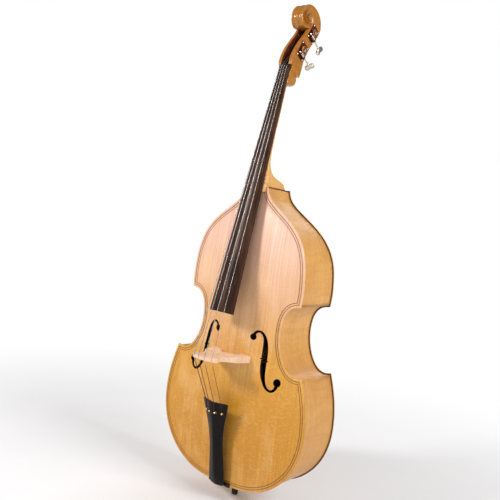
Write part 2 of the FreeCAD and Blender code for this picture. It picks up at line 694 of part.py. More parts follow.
class Machine:
    """Local frame of one machine: along its plate, along the key's shaft, and outward in x."""

    def __init__(self, centre, side, tilt, turn):
        angle = math.radians(tilt)
        self.centre = V(0, centre[0], centre[1])
        self.side = side
        self.turn = turn
        self.long = V(0, math.sin(angle), math.cos(angle))     # away from the nut
        self.shaft = V(0, math.cos(angle), -math.sin(angle))   # towards the key's wings
        self.out = V(side, 0, 0)

    def point(self, along, across, x):
        return self.centre + self.long * along + self.shaft * across + V(self.side * x, 0, 0)

    def pin(self, radius, length, x, along=0.0, across=0.0):
        """Cylinder starting at distance x and running outward."""
        return Part.makeCylinder(radius, length, self.point(along, across, x), self.out)

    def box(self, a0, a1, s0, s1, x0, x1):
        face = polygon_face([self.point(a0, s0, x0), self.point(a1, s0, x0),
                             self.point(a1, s1, x0), self.point(a0, s1, x0)])
        return face.extrude(V(self.side * (x1 - x0), 0, 0))

    def roller_hole(self):
        return self.pin(ROLLER_R + ROLLER_CLEAR, FAR_X + PLATE_FACE_X + 1, -(FAR_X + 0.4))


def machine_plate(machine):
    """Plate with the two bearings of the worm shaft."""
    plate = machine.box(PLATE_A0, PLATE_A1, -PLATE_HALF, PLATE_HALF, PEG_HALF_W, PLATE_FACE_X)
    plate = plate.cut(machine.roller_hole())
    for s0, s1 in ((-BEARING_OUT, -BEARING_IN), (BEARING_IN, BEARING_OUT)):
        bearing = machine.box(-CENTRE_DIST - BEARING_R, -CENTRE_DIST + BEARING_R, s0, s1,
                              PLATE_FACE_X, WORM_X)
        bearing = bearing.fuse(Part.makeCylinder(
            BEARING_R, s1 - s0, machine.point(-CENTRE_DIST, s0, WORM_X), machine.shaft))
        bearing = bearing.cut(Part.makeCylinder(
            SHAFT_R + SHAFT_CLEAR, 60, machine.point(-CENTRE_DIST, -30, WORM_X), machine.shaft))
        plate = plate.fuse(bearing)
    for along, across in SCREW_PLACES:
        plate = plate.cut(machine.pin(SCREW_R, 10, PEG_HALF_W - 2, along, across))
    return plate.removeSplitter()


def plate_screw(machine, along, across):
    """Domed, slotted screw through the plate into the cheek."""
    shank = machine.pin(SCREW_R, SCREW_LEN + PLATE_THICK, PEG_HALF_W - SCREW_LEN, along, across)
    ball = Part.makeSphere(4.4, machine.point(along, across, PLATE_FACE_X - 2.7))
    cap = ball.common(machine.pin(SCREW_HEAD_R, 5, PLATE_FACE_X, along, across))
    slot = machine.box(along - 4, along + 4, across - 0.45, across + 0.45,
                       PLATE_FACE_X + 0.9, PEG_HALF_W + 8)
    return shank.fuse(cap).cut(slot).removeSplitter()


def roller(machine):
    """Journal through both cheeks and the plate, with a reduced end through the gear."""
    body = machine.pin(ROLLER_R, FAR_X + SHOULDER_X, -FAR_X)
    body = body.fuse(machine.pin(ROLLER_END_R, GEAR_FACE_X - SHOULDER_X - 0.2, SHOULDER_X))
    body = body.cut(machine.pin(GEAR_SCREW_R, 20, GEAR_FACE_X - 8.2))
    return body.removeSplitter()


def gear_screw(machine):
    top_x = GEAR_FACE_X + 2.4
    head = machine.pin(5.4, 2.4, GEAR_FACE_X)
    rim = [e for e in head.Edges
           if abs(e.CenterOfMass.x - machine.side * top_x) < 0.01 and e.Length > 30]
    head = head.makeFillet(1.0, rim)
    slot = machine.box(-7, 7, -0.6, 0.6, GEAR_FACE_X + 1.3, GEAR_FACE_X + 5)
    return machine.pin(GEAR_SCREW_R, 9, GEAR_FACE_X - 8.2).fuse(head).cut(slot)


def gear(machine):
    """Spur wheel in mesh with the worm: a tooth gap faces the worm axis."""
    crest_r, root_r = GEAR_R + 1.1, GEAR_R - 1.75
    # half angles of a tooth at the pitch circle, the crest and the root
    pitch_h, crest_h, root_h = 2.15 / GEAR_R / 2, 1.15 / crest_r / 2, 3.3 / root_r / 2
    tooth = ((root_r, -root_h), (GEAR_R, -pitch_h), (crest_r, -crest_h),
             (crest_r, crest_h), (GEAR_R, pitch_h), (root_r, root_h))
    points = []
    for i in range(GEAR_TEETH):
        middle = -math.pi / 2 + (i + 0.5) * 2 * math.pi / GEAR_TEETH
        for r, turn in tooth:
            angle = middle + turn          # from the shaft direction towards the long axis
            points.append(machine.point(r * math.sin(angle), r * math.cos(angle),
                                        WORM_X - GEAR_HALF))
    wheel = polygon_face(points).extrude(machine.out * (2 * GEAR_HALF))
    hub = machine.pin(9.0, WORM_X - GEAR_HALF - SHOULDER_X, SHOULDER_X)
    return wheel.fuse(hub).cut(machine.pin(ROLLER_END_R, 60, 10)).removeSplitter()


WORM_CORE_R, WORM_TIP_R = 3.4, 6.0
WORM_TURNS = 3.5
THREAD_ROOT_HALF, THREAD_CREST_HALF = 1.35, 0.45
KEY_LEN = 50.0                # worm centre to the start of the wings
# Shaft with collar, (radius, z) with z = 0 at the worm's middle
KEY_PROFILE = [
    (0, -21.5), (2.2, -21.5), (SHAFT_R, -20.4), (SHAFT_R, -11.5), (WORM_CORE_R, -11.5),
    (WORM_CORE_R, 11.5), (SHAFT_R, 11.5), (SHAFT_R, 17.4), (4.6, 17.4), (4.6, 19.4),
    (2.9, 20.6), (2.9, KEY_LEN - 6), (4.4, KEY_LEN - 2.5), (4.4, KEY_LEN + 1.5),
    (3.2, KEY_LEN + 4.5), (2.6, KEY_LEN + 8), (0, KEY_LEN + 8)]
# Two rounded lobes joined at the waist: (x, z above KEY_LEN)
WING_OUTLINE = [(-3.0, 3), (-10.5, 3.2), (-17.5, 7.5), (-19.5, 14.5), (-16.5, 21.5),
                (-9.5, 24.0), (-3.5, 22.0), (0, 21.0), (3.5, 22.0), (9.5, 24.0),
                (16.5, 21.5), (19.5, 14.5), (17.5, 7.5), (10.5, 3.2), (3.0, 3)]
WING_HALF_T = 2.2


def worm_thread():
    """Thread along +Z, centred on the origin, with a gap at z = 0 on the +X side."""
    lead = math.pi * GEAR_MODULE
    z0 = -lead * WORM_TURNS / 2.0
    root_r = WORM_CORE_R - 0.6
    helix = Part.makeHelix(lead, lead * WORM_TURNS, root_r, 0)
    helix.translate(V(0, 0, z0))
    profile = closed_polygon([V(root_r, 0, z0 - THREAD_ROOT_HALF),
                              V(WORM_TIP_R, 0, z0 - THREAD_CREST_HALF),
                              V(WORM_TIP_R, 0, z0 + THREAD_CREST_HALF),
                              V(root_r, 0, z0 + THREAD_ROOT_HALF)])
    thread = Part.Wire(helix.Edges).makePipeShell([profile], True, True)
    thread.rotate(V(0, 0, 0), V(0, 0, 1), 360.0 * WORM_TURNS / 2.0 + 180.0)
    return thread


def tuning_key(machine, thread):
    """Worm shaft with a butterfly key, drawn along +Z and then set into the machine."""
    key = revolved(KEY_PROFILE).fuse(thread)
    points = [V(x, -WING_HALF_T, KEY_LEN + z) for x, z in WING_OUTLINE]
    wing = Part.Face(Part.Wire([spline(points).toShape(), Part.makeLine(points[-1], points[0])]))
    wing = wing.extrude(V(0, 2 * WING_HALF_T, 0))
    # The rim is rounded; the wings stay sharp if the fillet fails.
    try:
        wing = wing.makeFillet(1.3, [e for e in wing.Edges if e.Length > 60])
    except Exception:
        pass
    wing.rotate(V(0, 0, 0), V(0, 0, 1), machine.turn)
    key = key.fuse(wing).removeSplitter()
    # local +Z goes to the shaft direction, local +X to the long axis, towards the gear
    x_axis, z_axis = machine.long, machine.shaft
    y_axis = z_axis.cross(x_axis)
    origin = machine.point(-CENTRE_DIST, 0, WORM_X)
    return key.transformed(FreeCAD.Matrix(
        x_axis.x, y_axis.x, z_axis.x, origin.x,
        x_axis.y, y_axis.y, z_axis.y, origin.y,
        x_axis.z, y_axis.z, z_axis.z, origin.z,
        0, 0, 0, 1))


machines = {name: Machine(**values) for name, values in MACHINES.items()}
worm = worm_thread()
for name, machine in machines.items():
    export("machine_plate_" + name, machine_plate(machine))
    export("roller_" + name, roller(machine))
    export("gear_" + name, gear(machine))
    export("gear_screw_" + name, gear_screw(machine))
    export("tuning_key_" + name, tuning_key(machine, worm))
export("machine_screws", *[plate_screw(machine, along, across)
                           for machine in machines.values() for along, across in SCREW_PLACES])

# ------------------------------------------------------------------ pegbox and scroll
# Side profiles as (y, z): front from the nut up, rear from the chin up and round the volute.
PEG_FRONT = [(70.5, 1575), (72.5, 1592), (80, 1616), (94, 1643), (111, 1668), (130, 1693),
             (147, 1715), (157, 1733)]
PEG_BACK = [(137.5, 1541), (141, 1556), (144, 1580), (149.5, 1606), (160, 1632), (174, 1656),
            (191, 1681), (209, 1703), (225, 1727), (234, 1748), (236, 1768), (231, 1787),
            (219, 1804), (200, 1817), (178, 1823.5), (155, 1823), (134, 1815), (119, 1802),
            (110, 1784), (108.5, 1765), (114, 1747), (124.5, 1735), (137, 1730.5)]
PEG_FOOT = (84, 1573)         # step between the nut and the front profile
# Half width seen from the front, narrower at the nut and round the volute: (half width, z)
PEG_TAPER = [(26.5, 1535), (28.5, 1560), (PEG_HALF_W, 1585), (PEG_HALF_W, 1752),
             (27, 1790), (25, 1830)]
CHAMBER_REAR = [(112, 1577), (128, 1580), (134, 1606), (145, 1634), (158, 1658), (175, 1683),
                (192, 1706), (199, 1722), (190, 1731), (172, 1729)]
CHAMBER_FRONT = [(172, 1729), (120, 1745), (20, 1600), (40, 1567), (112, 1577)]
VOLUTE_CENTRE = (152.0, 1770.0)
VOLUTE_STEPS = ((32.5, 31.2), (22.5, 34.8), (12.0, 38.0))    # radius, half width


def side_points(points):
    return [V(0, y, z) for y, z in points]


def side_slab(edges, half_width):
    """Slab of a side profile, centred on the middle plane."""
    slab = sorted_face(edges).extrude(V(2 * half_width, 0, 0))
    slab.translate(V(-half_width, 0, 0))
    return slab


def make_pegbox():
    edges = [spline(side_points(PEG_BACK)).toShape(), spline(side_points(PEG_FRONT[::-1])).toShape()]
    edges += lines(side_points([PEG_BACK[-1], PEG_FRONT[-1]]))
    edges += lines(side_points([PEG_FRONT[0], PEG_FOOT, (under_board_y(CHIN_Z), CHIN_Z),
                                PEG_BACK[0]]))
    head = side_slab(edges, PEG_HALF_W)
    taper = [V(-w, 0, z) for w, z in PEG_TAPER] + [V(w, 0, z) for w, z in PEG_TAPER[::-1]]
    head = head.common(polygon_face(taper).extrude(V(0, 400, 0)))
    chamber = [spline(side_points(CHAMBER_REAR)).toShape()] + lines(side_points(CHAMBER_FRONT))
    head = head.cut(side_slab(chamber, PEG_INNER))
    # round steps of the volute stand out further towards the eye
    for radius, half_width in VOLUTE_STEPS:
        step = Part.makeCylinder(radius, 2 * half_width, V(-half_width, *VOLUTE_CENTRE),
                                 V(1, 0, 0))
        rims = [e for e in step.Edges if abs(e.Length - 2 * math.pi * radius) < 0.1]
        head = head.fuse(step.makeFillet(2.0, rims))
    head = head.cut(nut_blank).cut(fingerboard)
    for machine in machines.values():
        head = head.cut(machine.roller_hole())
        for along, across in SCREW_PLACES:
            head = head.cut(machine.pin(SCREW_R, SCREW_LEN, PEG_HALF_W - SCREW_LEN,
                                        along, across))
    return head.cut(neck).removeSplitter()


export("pegbox_scroll", make_pegbox())

# ------------------------------------------------------------------ tailpiece form
TAIL_TOP_Z, TAIL_LOW_Z = 322.0, 2.0
TAIL_EDGE_TOP_Y, TAIL_EDGE_LOW_Y = -84.0, -20.0
TAIL_HALF = [(2, 27), (10, 33), (24, 35.5), (50, 35), (90, 33), (130, 31.5), (170, 31.5),
             (205, 34), (240, 40), (270, 47), (295, 53), (322, 58)]       # (z, half width)
TAIL_RIDGE = [(2, 9), (30, 14), (90, 17), (180, 19), (250, 22), (322, 26)]  # (z, ridge height)
TAIL_STATIONS = [2, 8, 16, 26, 45, 75, 110, 150, 190, 225, 255, 285, 322]
TAIL_T = 8.0
TAIL_RIM = 3.0                # thickness at the side edges
RIDGE_HALF, RIDGE_DROP = 5, 0.6      # flat on the ridge
FACET_W, FACET_H = 0.55, 0.52        # facet break as shares of half width and ridge height


def tail_edge_y(z):
    t = (z - TAIL_LOW_Z) / (TAIL_TOP_Z - TAIL_LOW_Z)
    return TAIL_EDGE_LOW_Y + (TAIL_EDGE_TOP_Y - TAIL_EDGE_LOW_Y) * t


def tail_section(z):
    w, ridge, y = smooth(TAIL_HALF, z), smooth(TAIL_RIDGE, z), tail_edge_y(z)
    ridge_y, facet_y = y - ridge + RIDGE_DROP, y - ridge * FACET_H
    points = [(-w, y), (-w * FACET_W, facet_y), (-RIDGE_HALF, ridge_y), (RIDGE_HALF, ridge_y),
              (w * FACET_W, facet_y), (w, y), (w, y + TAIL_RIM),
              (0, y - ridge + TAIL_T + TAIL_RIM), (-w, y + TAIL_RIM)]
    return closed_polygon([V(px, py, z) for px, py in points])


def tail_front_y(x, z):
    """y of the tailpiece's front surface."""
    w, ridge, y = smooth(TAIL_HALF, z), smooth(TAIL_RIDGE, z), tail_edge_y(z)
    ridge_y, facet_x = y - ridge + RIDGE_DROP, w * FACET_W
    across = abs(x)
    if across < RIDGE_HALF:
        return ridge_y
    if across < facet_x:
        share = (across - RIDGE_HALF) / (facet_x - RIDGE_HALF)
        return ridge_y + share * (ridge * (1 - FACET_H) - RIDGE_DROP)
    return (y - ridge * FACET_H) + (across - facet_x) / (w * (1 - FACET_W)) * (ridge * FACET_H)


# ------------------------------------------------------------------ strings
BRIDGE_Z = 487.0
BALL_Z = 287.0
BALL_R, BALL_LEN = 3.6, 6.4
BALL_HOLE_R = 5.1
COILS = 3


def tube(points, radius):
    """Round bar along a polyline, with balls at its bends."""
    out = None
    for i in range(len(points) - 1):
        a, b = points[i], points[i + 1]
        piece = Part.makeCylinder(radius, (b - a).Length, a, b - a)
        out = piece if out is None else out.fuse(piece)
        if i > 0:
            out = out.fuse(Part.makeSphere(radius, a))
    return out.removeSplitter() if len(points) > 2 else out


def string_path(name):
    """Ball end, top of the tailpiece, bridge, nut, and where the string meets its roller."""
    string = STRINGS[name]
    r, tail_x, nut_x = string["radius"], string["tail_x"], string["nut_x"]
    at_ball = V(tail_x, tail_front_y(tail_x, BALL_Z) - 1.2, BALL_Z + 1.0)
    at_tail = V(tail_x, tail_front_y(tail_x, TAIL_TOP_Z) - 0.4, TAIL_TOP_Z)
    at_bridge = V(string["bridge_x"], string["bridge_y"], BRIDGE_Z)
    nut_top = -BOARD_SAG0 * (nut_x / BOARD_W0) ** 2 + NUT_RISE
    at_nut = board_point(-NUT_LEN * 0.55, nut_top - r * 0.1, nut_x)
    # tangent to the roller, seen from the side
    centre = machines[name].centre
    to_roller = V(0, centre.y - at_nut.y, centre.z - at_nut.z)
    reach = ROLLER_R + r + 0.12
    angle = math.atan2(to_roller.z, to_roller.y) + math.asin(reach / to_roller.Length)
    length = math.sqrt(to_roller.Length ** 2 - reach * reach)
    at_peg = V(string["peg_x"], at_nut.y + length * math.cos(angle),
               at_nut.z + length * math.sin(angle))
    return [at_ball, at_tail, at_bridge, at_nut, at_peg]


def winding(name):
    """Closed coils beside one another on the roller."""
    string, centre = STRINGS[name], machines[name].centre
    r = string["radius"]
    step = string["coil_dir"] * (2 * r + 0.03)
    return [Part.makeTorus(ROLLER_R + r + 0.01, r,
                           V(string["peg_x"] + step * (i + 1), centre.y, centre.z), V(1, 0, 0))
            for i in range(COILS)]


def ball_end(name):
    x = STRINGS[name]["tail_x"]
    ball = Part.makeCylinder(BALL_R, BALL_LEN,
                             V(x - BALL_LEN / 2, tail_front_y(x, BALL_Z) + 1.0, BALL_Z - 3.2),
                             V(1, 0, 0))
    return ball.cut(tube(paths[name][:2], STRINGS[name]["radius"] + 0.02))


def cut_grooves(shape, first, last, clearance):
    """Cut all strings, from path point first to last, out of a shape."""
    for name in STRINGS:
        shape = shape.cut(tube(paths[name][first:last + 1],
                               STRINGS[name]["radius"] + clearance))
    return shape


paths = {name: string_path(name) for name in STRINGS}
for name in STRINGS:
    export("string_" + name, tube(paths[name], STRINGS[name]["radius"]))
    export("string_winding_" + name, *winding(name))
export("string_ball_ends", *[ball_end(name) for name in STRINGS])
export("nut", cut_grooves(nut_blank, 2, 4, 0.06))

# ------------------------------------------------------------------ bridge
# Right half as (x, y), seen along the strings
BRIDGE_CROWN = [(0, -190.0), (18, -189.0), (36, -184.5), (52, -177.0)]
BRIDGE_FLANK = [(52, -177.0), (56, -171), (54.5, -160), (48, -150), (43.5, -139), (45.5, -127),
                (53, -116), (63, -104), (72, -90), (78, -74), (81.5, -56), (84, -42), (86, -33)]
BRIDGE_FOOT = [(86, -33), (86, -10), (45, -10), (45, -34)]
BRIDGE_UNDER = [(45, -34), (40, -47), (28, -58), (14, -64), (0, -66)]
HEART = [(0, -118), (8, -127), (15, -126), (17, -117), (12, -106), (4, -98), (0, -94),
         (-4, -98), (-12, -106), (-17, -117), (-15, -126), (-8, -127)]
SIDE_EYE = [(50, -104), (58, -96), (62, -86), (60, -77), (52, -75), (44, -82), (38, -90),
            (40, -98)]
# Thickness from the crown to the feet, seen from the side: (y, z from BRIDGE_Z)
BRIDGE_WEDGE = [(-200, -5.0), (-196, 5.5), (-100, 9.5), (-33, 12.0), (0, 12.0), (0, -12.0),
                (-33, -12.0)]


def bridge_opening(points, side=1):
    loop = Part.BSplineCurve()
    loop.interpolate(Points=[V(side * x, y, 0) for x, y in points], PeriodicFlag=True)
    return Part.Face(Part.Wire([loop.toShape()])).extrude(V(0, 0, 1000))


def make_bridge():
    crown, flank, foot, under = [[V(x, y, 0) for x, y in points] for points in
                                 (BRIDGE_CROWN, BRIDGE_FLANK, BRIDGE_FOOT, BRIDGE_UNDER)]
    right = [spline(crown).toShape(), spline(flank).toShape()]
    right += lines(foot) + [spline(under).toShape()]
    left = [e.mirror(V(0, 0, 0), V(1, 0, 0)) for e in right]
    bridge = sorted_face(right + left).extrude(V(0, 0, 40))
    bridge.translate(V(0, 0, BRIDGE_Z - 20))
    bridge = bridge.cut(bridge_opening(HEART))
    for side in (1, -1):
        bridge = bridge.cut(bridge_opening(SIDE_EYE, side))
    wedge = polygon_face([V(-100, y, BRIDGE_Z + z) for y, z in BRIDGE_WEDGE])
    bridge = bridge.common(wedge.extrude(V(200, 0, 0)))
    bridge = bridge.cut(ARCH_OUTSIDE.translated(V(0, -FIT_GAP, 0)))
    return cut_grooves(bridge, 1, 3, 0.06)


export("bridge", make_bridge())

# ------------------------------------------------------------------ tail wire
WIRE_R = 2.4
WIRE_X = 11.0
WIRE_STEPS = 44
WIRE_SIDES = 16
COLLAR_LOOP_R, COLLAR_LOOP_Z = 20.6, -7.0
# One leg from the tailpiece over the saddle to the endpin: (x, y, z)
WIRE_LEG = [(WIRE_X, -21.0, 22.0), (WIRE_X, -16.0, 8.0), (WIRE_X, -12.2, 0.0),
            (WIRE_X, -6.0, -5.2), (WIRE_X, 10.0, -6.6), (WIRE_X, 45.0, -6.8),
            (15.0, 78.0, COLLAR_LOOP_Z)]


def make_tail_wire():
    """Wire from the tailpiece round the endpin collar and back."""
    points = [V(x, y, z) for x, y, z in WIRE_LEG]
    for i in range(1, 12):
        angle = math.radians(-50 + i * (280.0 / 12))
        points.append(V(COLLAR_LOOP_R * math.cos(angle),
                        MID_DEPTH + COLLAR_LOOP_R * math.sin(angle), COLLAR_LOOP_Z))
    points += [V(-x, y, z) for x, y, z in WIRE_LEG[::-1]]
    path = spline(points)
    length = path.length()
    rings, up = [], V(1, 0, 0)
    for i in range(WIRE_STEPS + 1):
        if i == WIRE_STEPS:
            t = path.LastParameter
        else:
            t = path.parameterAtDistance(length * i / WIRE_STEPS, path.FirstParameter)
        centre, tangent = path.value(t), path.tangent(t)[0]
        # carry the last direction along, so that the rings don't twist
        up = up - tangent * up.dot(tangent)
        up.normalize()
        across = tangent.cross(up)
        angles = [2 * math.pi * j / WIRE_SIDES for j in range(WIRE_SIDES)]
        rings.append(closed_polygon([centre + up * (WIRE_R * math.cos(a)) +
                                     across * (WIRE_R * math.sin(a)) for a in angles]))
    return Part.makeLoft(rings, True, True)


tail_wire = make_tail_wire()
export("tail_wire", tail_wire)


# ------------------------------------------------------------------ tailpiece and saddle
def make_tailpiece():
    tailpiece = Part.makeLoft([tail_section(z) for z in TAIL_STATIONS], True, True)
    for name, string in STRINGS.items():
        path = paths[name]
        tailpiece = tailpiece.cut(tube(path[:3], string["radius"] + 0.12))
        ball_hole = Part.makeCylinder(BALL_HOLE_R, 40,
                                      V(string["tail_x"], path[0].y - 20, BALL_Z - 3.2),
                                      V(0, 1, 0))
        tailpiece = tailpiece.cut(ball_hole)
    tailpiece = tailpiece.cut(tail_wire)
    for side in (1, -1):
        tailpiece = tailpiece.cut(Part.makeCylinder(WIRE_R + 0.1, 26,
                                                    V(side * WIRE_X, -23.4, 28.6),
                                                    V(0, 7.0, -20.0)))
    return tailpiece


# Cross-section as (y, z)
SADDLE_PROFILE = [(PLATE_T, -1.5), (-6.0, -1.5), (-9.0, 3.0), (-9.0, 7.0), (-6.0, SADDLE_H),
                  (PLATE_T, SADDLE_H)]


def make_saddle():
    face = polygon_face([V(-SADDLE_HALF, y, z) for y, z in SADDLE_PROFILE])
    return face.extrude(V(2 * SADDLE_HALF, 0, 0)).cut(tail_wire)


export("tailpiece", make_tailpiece())
export("saddle", make_saddle())

# ------------------------------------------------------------------ endpin
ENDPIN_ROD_R = 5.0
ROD_LOW_Z, ROD_LEN = -52.0, 430
ROD_HOLE_R = ENDPIN_ROD_R + 0.06
# Tapered collar through the end block, with a flange outside: (radius, z)
SOCKET_PROFILE = [(ROD_HOLE_R, END_TOP + 4), (SOCKET_R - 1.5, END_TOP + 4),
                  (SOCKET_R, END_TOP - 2), (SOCKET_R, -1.0), (18.0, -1.0), (18.0, -4.0),
                  (17.2, -10.0), (19.0, -12.0), (19.0, -17.0), (15.0, -20.0), (13.5, -32.0),
                  (11.5, -34.5), (ROD_HOLE_R, -34.5)]
TIP_PROFILE = [(0, -FOOT_DROP), (9.0, -FOOT_DROP), (11.6, -FOOT_DROP + 2.2), (12.4, -55),
               (11.6, -42), (8.4, -37.0), (ENDPIN_ROD_R, -37.0), (ENDPIN_ROD_R, ROD_LOW_Z),
               (0, ROD_LOW_Z)]
THUMB_Z = -26.5
THUMB_R = 3.0
LEVER_T, LEVER_H = 3.2, 15.0


def endpin_socket():
    socket = revolved(SOCKET_PROFILE, MID_DEPTH)
    inside_ribs = outline_prism(OVERHANG, PLATE_T, BLANK_Y, RIB_TOP_Z).common(BACK_INSIDE)
    socket = socket.cut(inside_ribs.cut(endpin_hole))
    return socket.cut(Part.makeCylinder(THUMB_R + 0.06, 30, V(0, MID_DEPTH, THUMB_Z),
                                        V(1, 0, 0)))


def thumbscrew():
    screw = Part.makeCylinder(THUMB_R, 16.0, V(ENDPIN_ROD_R + 0.15, MID_DEPTH, THUMB_Z),
                              V(1, 0, 0))
    screw = screw.fuse(Part.makeCylinder(4.6, 3.0, V(17.0, MID_DEPTH, THUMB_Z), V(1, 0, 0)))
    lever = Part.makeBox(11.0, LEVER_T, LEVER_H,
                         V(19.0, MID_DEPTH - LEVER_T / 2, THUMB_Z - LEVER_H / 2))
    lever = lever.makeFillet(1.4, [e for e in lever.Edges if e.Length > 10.9])
    return screw.fuse(lever).removeSplitter()


export("endpin_socket", endpin_socket())
export("endpin_thumbscrew", thumbscrew())
export("endpin_rod", Part.makeCylinder(ENDPIN_ROD_R, ROD_LEN, V(0, MID_DEPTH, ROD_LOW_Z),
                                       V(0, 0, 1)))
export("endpin_tip", revolved(TIP_PROFILE, MID_DEPTH))
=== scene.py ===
# A double bass standing upright on its endpin. The front faces -Y, the neck points to +Z
# and X = 0 is the plane of symmetry of the body.
# Shapes are worked out in a body frame in millimetres: z = 0 at the lower edge of the front
# plate, y = 0 on the plane of that plate's edge. Materials, lights and floor are in metres.
import math
import bmesh
import bpy
import numpy as np
from mathutils import Matrix, Vector
from mathutils.geometry import delaunay_2d_cdt


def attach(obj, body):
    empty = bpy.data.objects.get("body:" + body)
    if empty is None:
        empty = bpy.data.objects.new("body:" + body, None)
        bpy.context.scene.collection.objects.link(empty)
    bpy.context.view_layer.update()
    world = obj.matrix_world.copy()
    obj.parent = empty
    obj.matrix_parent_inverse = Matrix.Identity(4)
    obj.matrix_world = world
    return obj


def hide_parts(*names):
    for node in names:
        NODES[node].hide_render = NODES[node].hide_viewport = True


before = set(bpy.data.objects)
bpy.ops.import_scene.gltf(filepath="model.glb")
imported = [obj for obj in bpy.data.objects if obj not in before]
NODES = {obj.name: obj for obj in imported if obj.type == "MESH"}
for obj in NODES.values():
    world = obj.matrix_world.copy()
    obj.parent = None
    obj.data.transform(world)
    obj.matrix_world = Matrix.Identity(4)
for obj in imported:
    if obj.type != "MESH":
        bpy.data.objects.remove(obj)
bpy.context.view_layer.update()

MM = 0.001
SHIFT_Y, SHIFT_Z = -100.5, 68.0     # body frame to world


def to_world(point):
    return (point[0] * MM, (point[1] + SHIFT_Y) * MM, (point[2] + SHIFT_Z) * MM)


# ============================================================ mesh helpers
def add_object(name, data):
    obj = bpy.data.objects.new(name, data)
    bpy.context.scene.collection.objects.link(obj)
    return obj


def shade(mesh, angle):
    """Smooth shading with edges sharper than the angle (degrees) kept crisp."""
    mesh.shade_smooth()
    mesh.set_sharp_from_angle(angle=math.radians(angle))


def make_mesh(name, verts, faces, sharp_angle=38.0):
    """A welded object from points in the body frame."""
    mesh = bpy.data.meshes.new(name)
    mesh.from_pydata([to_world(point) for point in verts], [], faces)
    mesh.validate(verbose=False)
    obj = add_object(name, mesh)
    edit = bmesh.new()
    edit.from_mesh(mesh)
    bmesh.ops.remove_doubles(edit, verts=edit.verts, dist=5e-6)
    bmesh.ops.dissolve_degenerate(edit, dist=1e-7, edges=edit.edges)
    bmesh.ops.recalc_face_normals(edit, faces=edit.faces)
    edit.to_mesh(mesh)
    edit.free()
    shade(mesh, sharp_angle)
    return obj


def strip(first, second):
    """Quads between two closed loops of vertex numbers."""
    count = len(first)
    return [(first[i], first[(i + 1) % count], second[(i + 1) % count], second[i])
            for i in range(count)]


def subtract(obj, cutter):
    """Cut the cutter out of the object and remove the cutter."""
    cut = obj.modifiers.new("cut", "BOOLEAN")
    cut.operation = "DIFFERENCE"
    cut.solver = "EXACT"
    cut.object = cutter
    bpy.context.view_layer.update()
    depsgraph = bpy.context.evaluated_depsgraph_get()
    mesh = bpy.data.meshes.new_from_object(obj.evaluated_get(depsgraph))
    old = obj.data
    obj.modifiers.clear()
    obj.data = mesh
    bpy.data.meshes.remove(old)
    bpy.data.objects.remove(cutter)


def tidy(obj, sharp_angle):
    """Weld and close what the cuts leave: doubled points, slivers, loose bits, pinholes."""
    edit = bmesh.new()
    edit.from_mesh(obj.data)
    bmesh.ops.remove_doubles(edit, verts=edit.verts, dist=1.5e-5)
    bmesh.ops.dissolve_degenerate(edit, dist=2e-6, edges=edit.edges)
    slivers = {face for edge in edit.edges if len(edge.link_faces) > 2
               for face in edge.link_faces if face.calc_area() < 2e-9}
    if slivers:
        bmesh.ops.delete(edit, geom=list(slivers), context="FACES")
    gaps = [edge for edge in edit.edges if len(edge.link_faces) == 1]
    if gaps:
        bmesh.ops.holes_fill(edit, edges=gaps, sides=24)
    loose_edges = [edge for edge in edit.edges if not edge.link_faces]
    bmesh.ops.delete(edit, geom=loose_edges, context="EDGES")
    loose_verts = [vert for vert in edit.verts if not vert.link_faces]
    bmesh.ops.delete(edit, geom=loose_verts, context="VERTS")
    bmesh.ops.recalc_face_normals(edit, faces=edit.faces)
    edit.to_mesh(obj.data)
    edit.free()
    shade(obj.data, sharp_angle)


def hand_over(obj, node):
    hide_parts(node)
    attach(obj, "instrument")


# ============================================================ cutters
def box_cutter(half_width, half_depth, bottom, top):
    verts = [(x, y, z) for x in (-half_width, half_width) for y in (-half_depth, half_depth)
             for z in (bottom, top)]
    faces = [(0, 1, 3, 2), (4, 6, 7, 5), (0, 4, 5, 1), (2, 3, 7, 6), (0, 2, 6, 4), (1, 5, 7, 3)]
    return make_mesh("cutter", verts, faces)


def prism_cutter(outline, half_width):
    """A (y, z) outline extruded across x."""
    count = len(outline)
    verts = [(x, y, z) for x in (-half_width, half_width) for y, z in outline]
    faces = [tuple(range(count)), tuple(range(2 * count - 1, count - 1, -1))]
    faces += strip(range(count), range(count, 2 * count))
    return make_mesh("cutter", verts, faces)


def rod_cutter(points, radius, sides):
    """A round bar with closed ends along a polyline."""
    path = [np.array(point, float) for point in points]
    start = path[1] - path[0]
    start /= np.linalg.norm(start)
    across = np.cross(start, [0.31, 0.57, 0.76])
    across /= np.linalg.norm(across)
    verts, faces = [], []
    last = len(path) - 1
    for i, centre in enumerate(path):
        along = path[min(i + 1, last)] - path[max(i - 1, 0)]
        along /= np.linalg.norm(along)
        across = across - along * (across @ along)
        across /= np.linalg.norm(across)
        third = np.cross(along, across)
        for j in range(sides):
            angle = 2 * math.pi * j / sides
            verts.append(centre + radius * (math.cos(angle) * across + math.sin(angle) * third))
    for i in range(last):
        faces += strip(range(i * sides, (i + 1) * sides), range((i + 1) * sides, (i + 2) * sides))
    faces.append(tuple(range(sides - 1, -1, -1)))
    faces.append(tuple(range(last * sides, (last + 1) * sides)))
    return make_mesh("cutter", verts, faces)


def join(parts):
    """One cutter out of several."""
    edit = bmesh.new()
    for part in parts:
        edit.from_mesh(part.data)
    mesh = bpy.data.meshes.new("cutter")
    edit.to_mesh(mesh)
    edit.free()
    for part in parts:
        bpy.data.objects.remove(part)
    return add_object("cutter", mesh)


# ============================================================ curve helpers
def running_length(points):
    steps = np.sqrt((np.diff(points, axis=0) ** 2).sum(1))
    return np.concatenate([[0], np.cumsum(steps)])


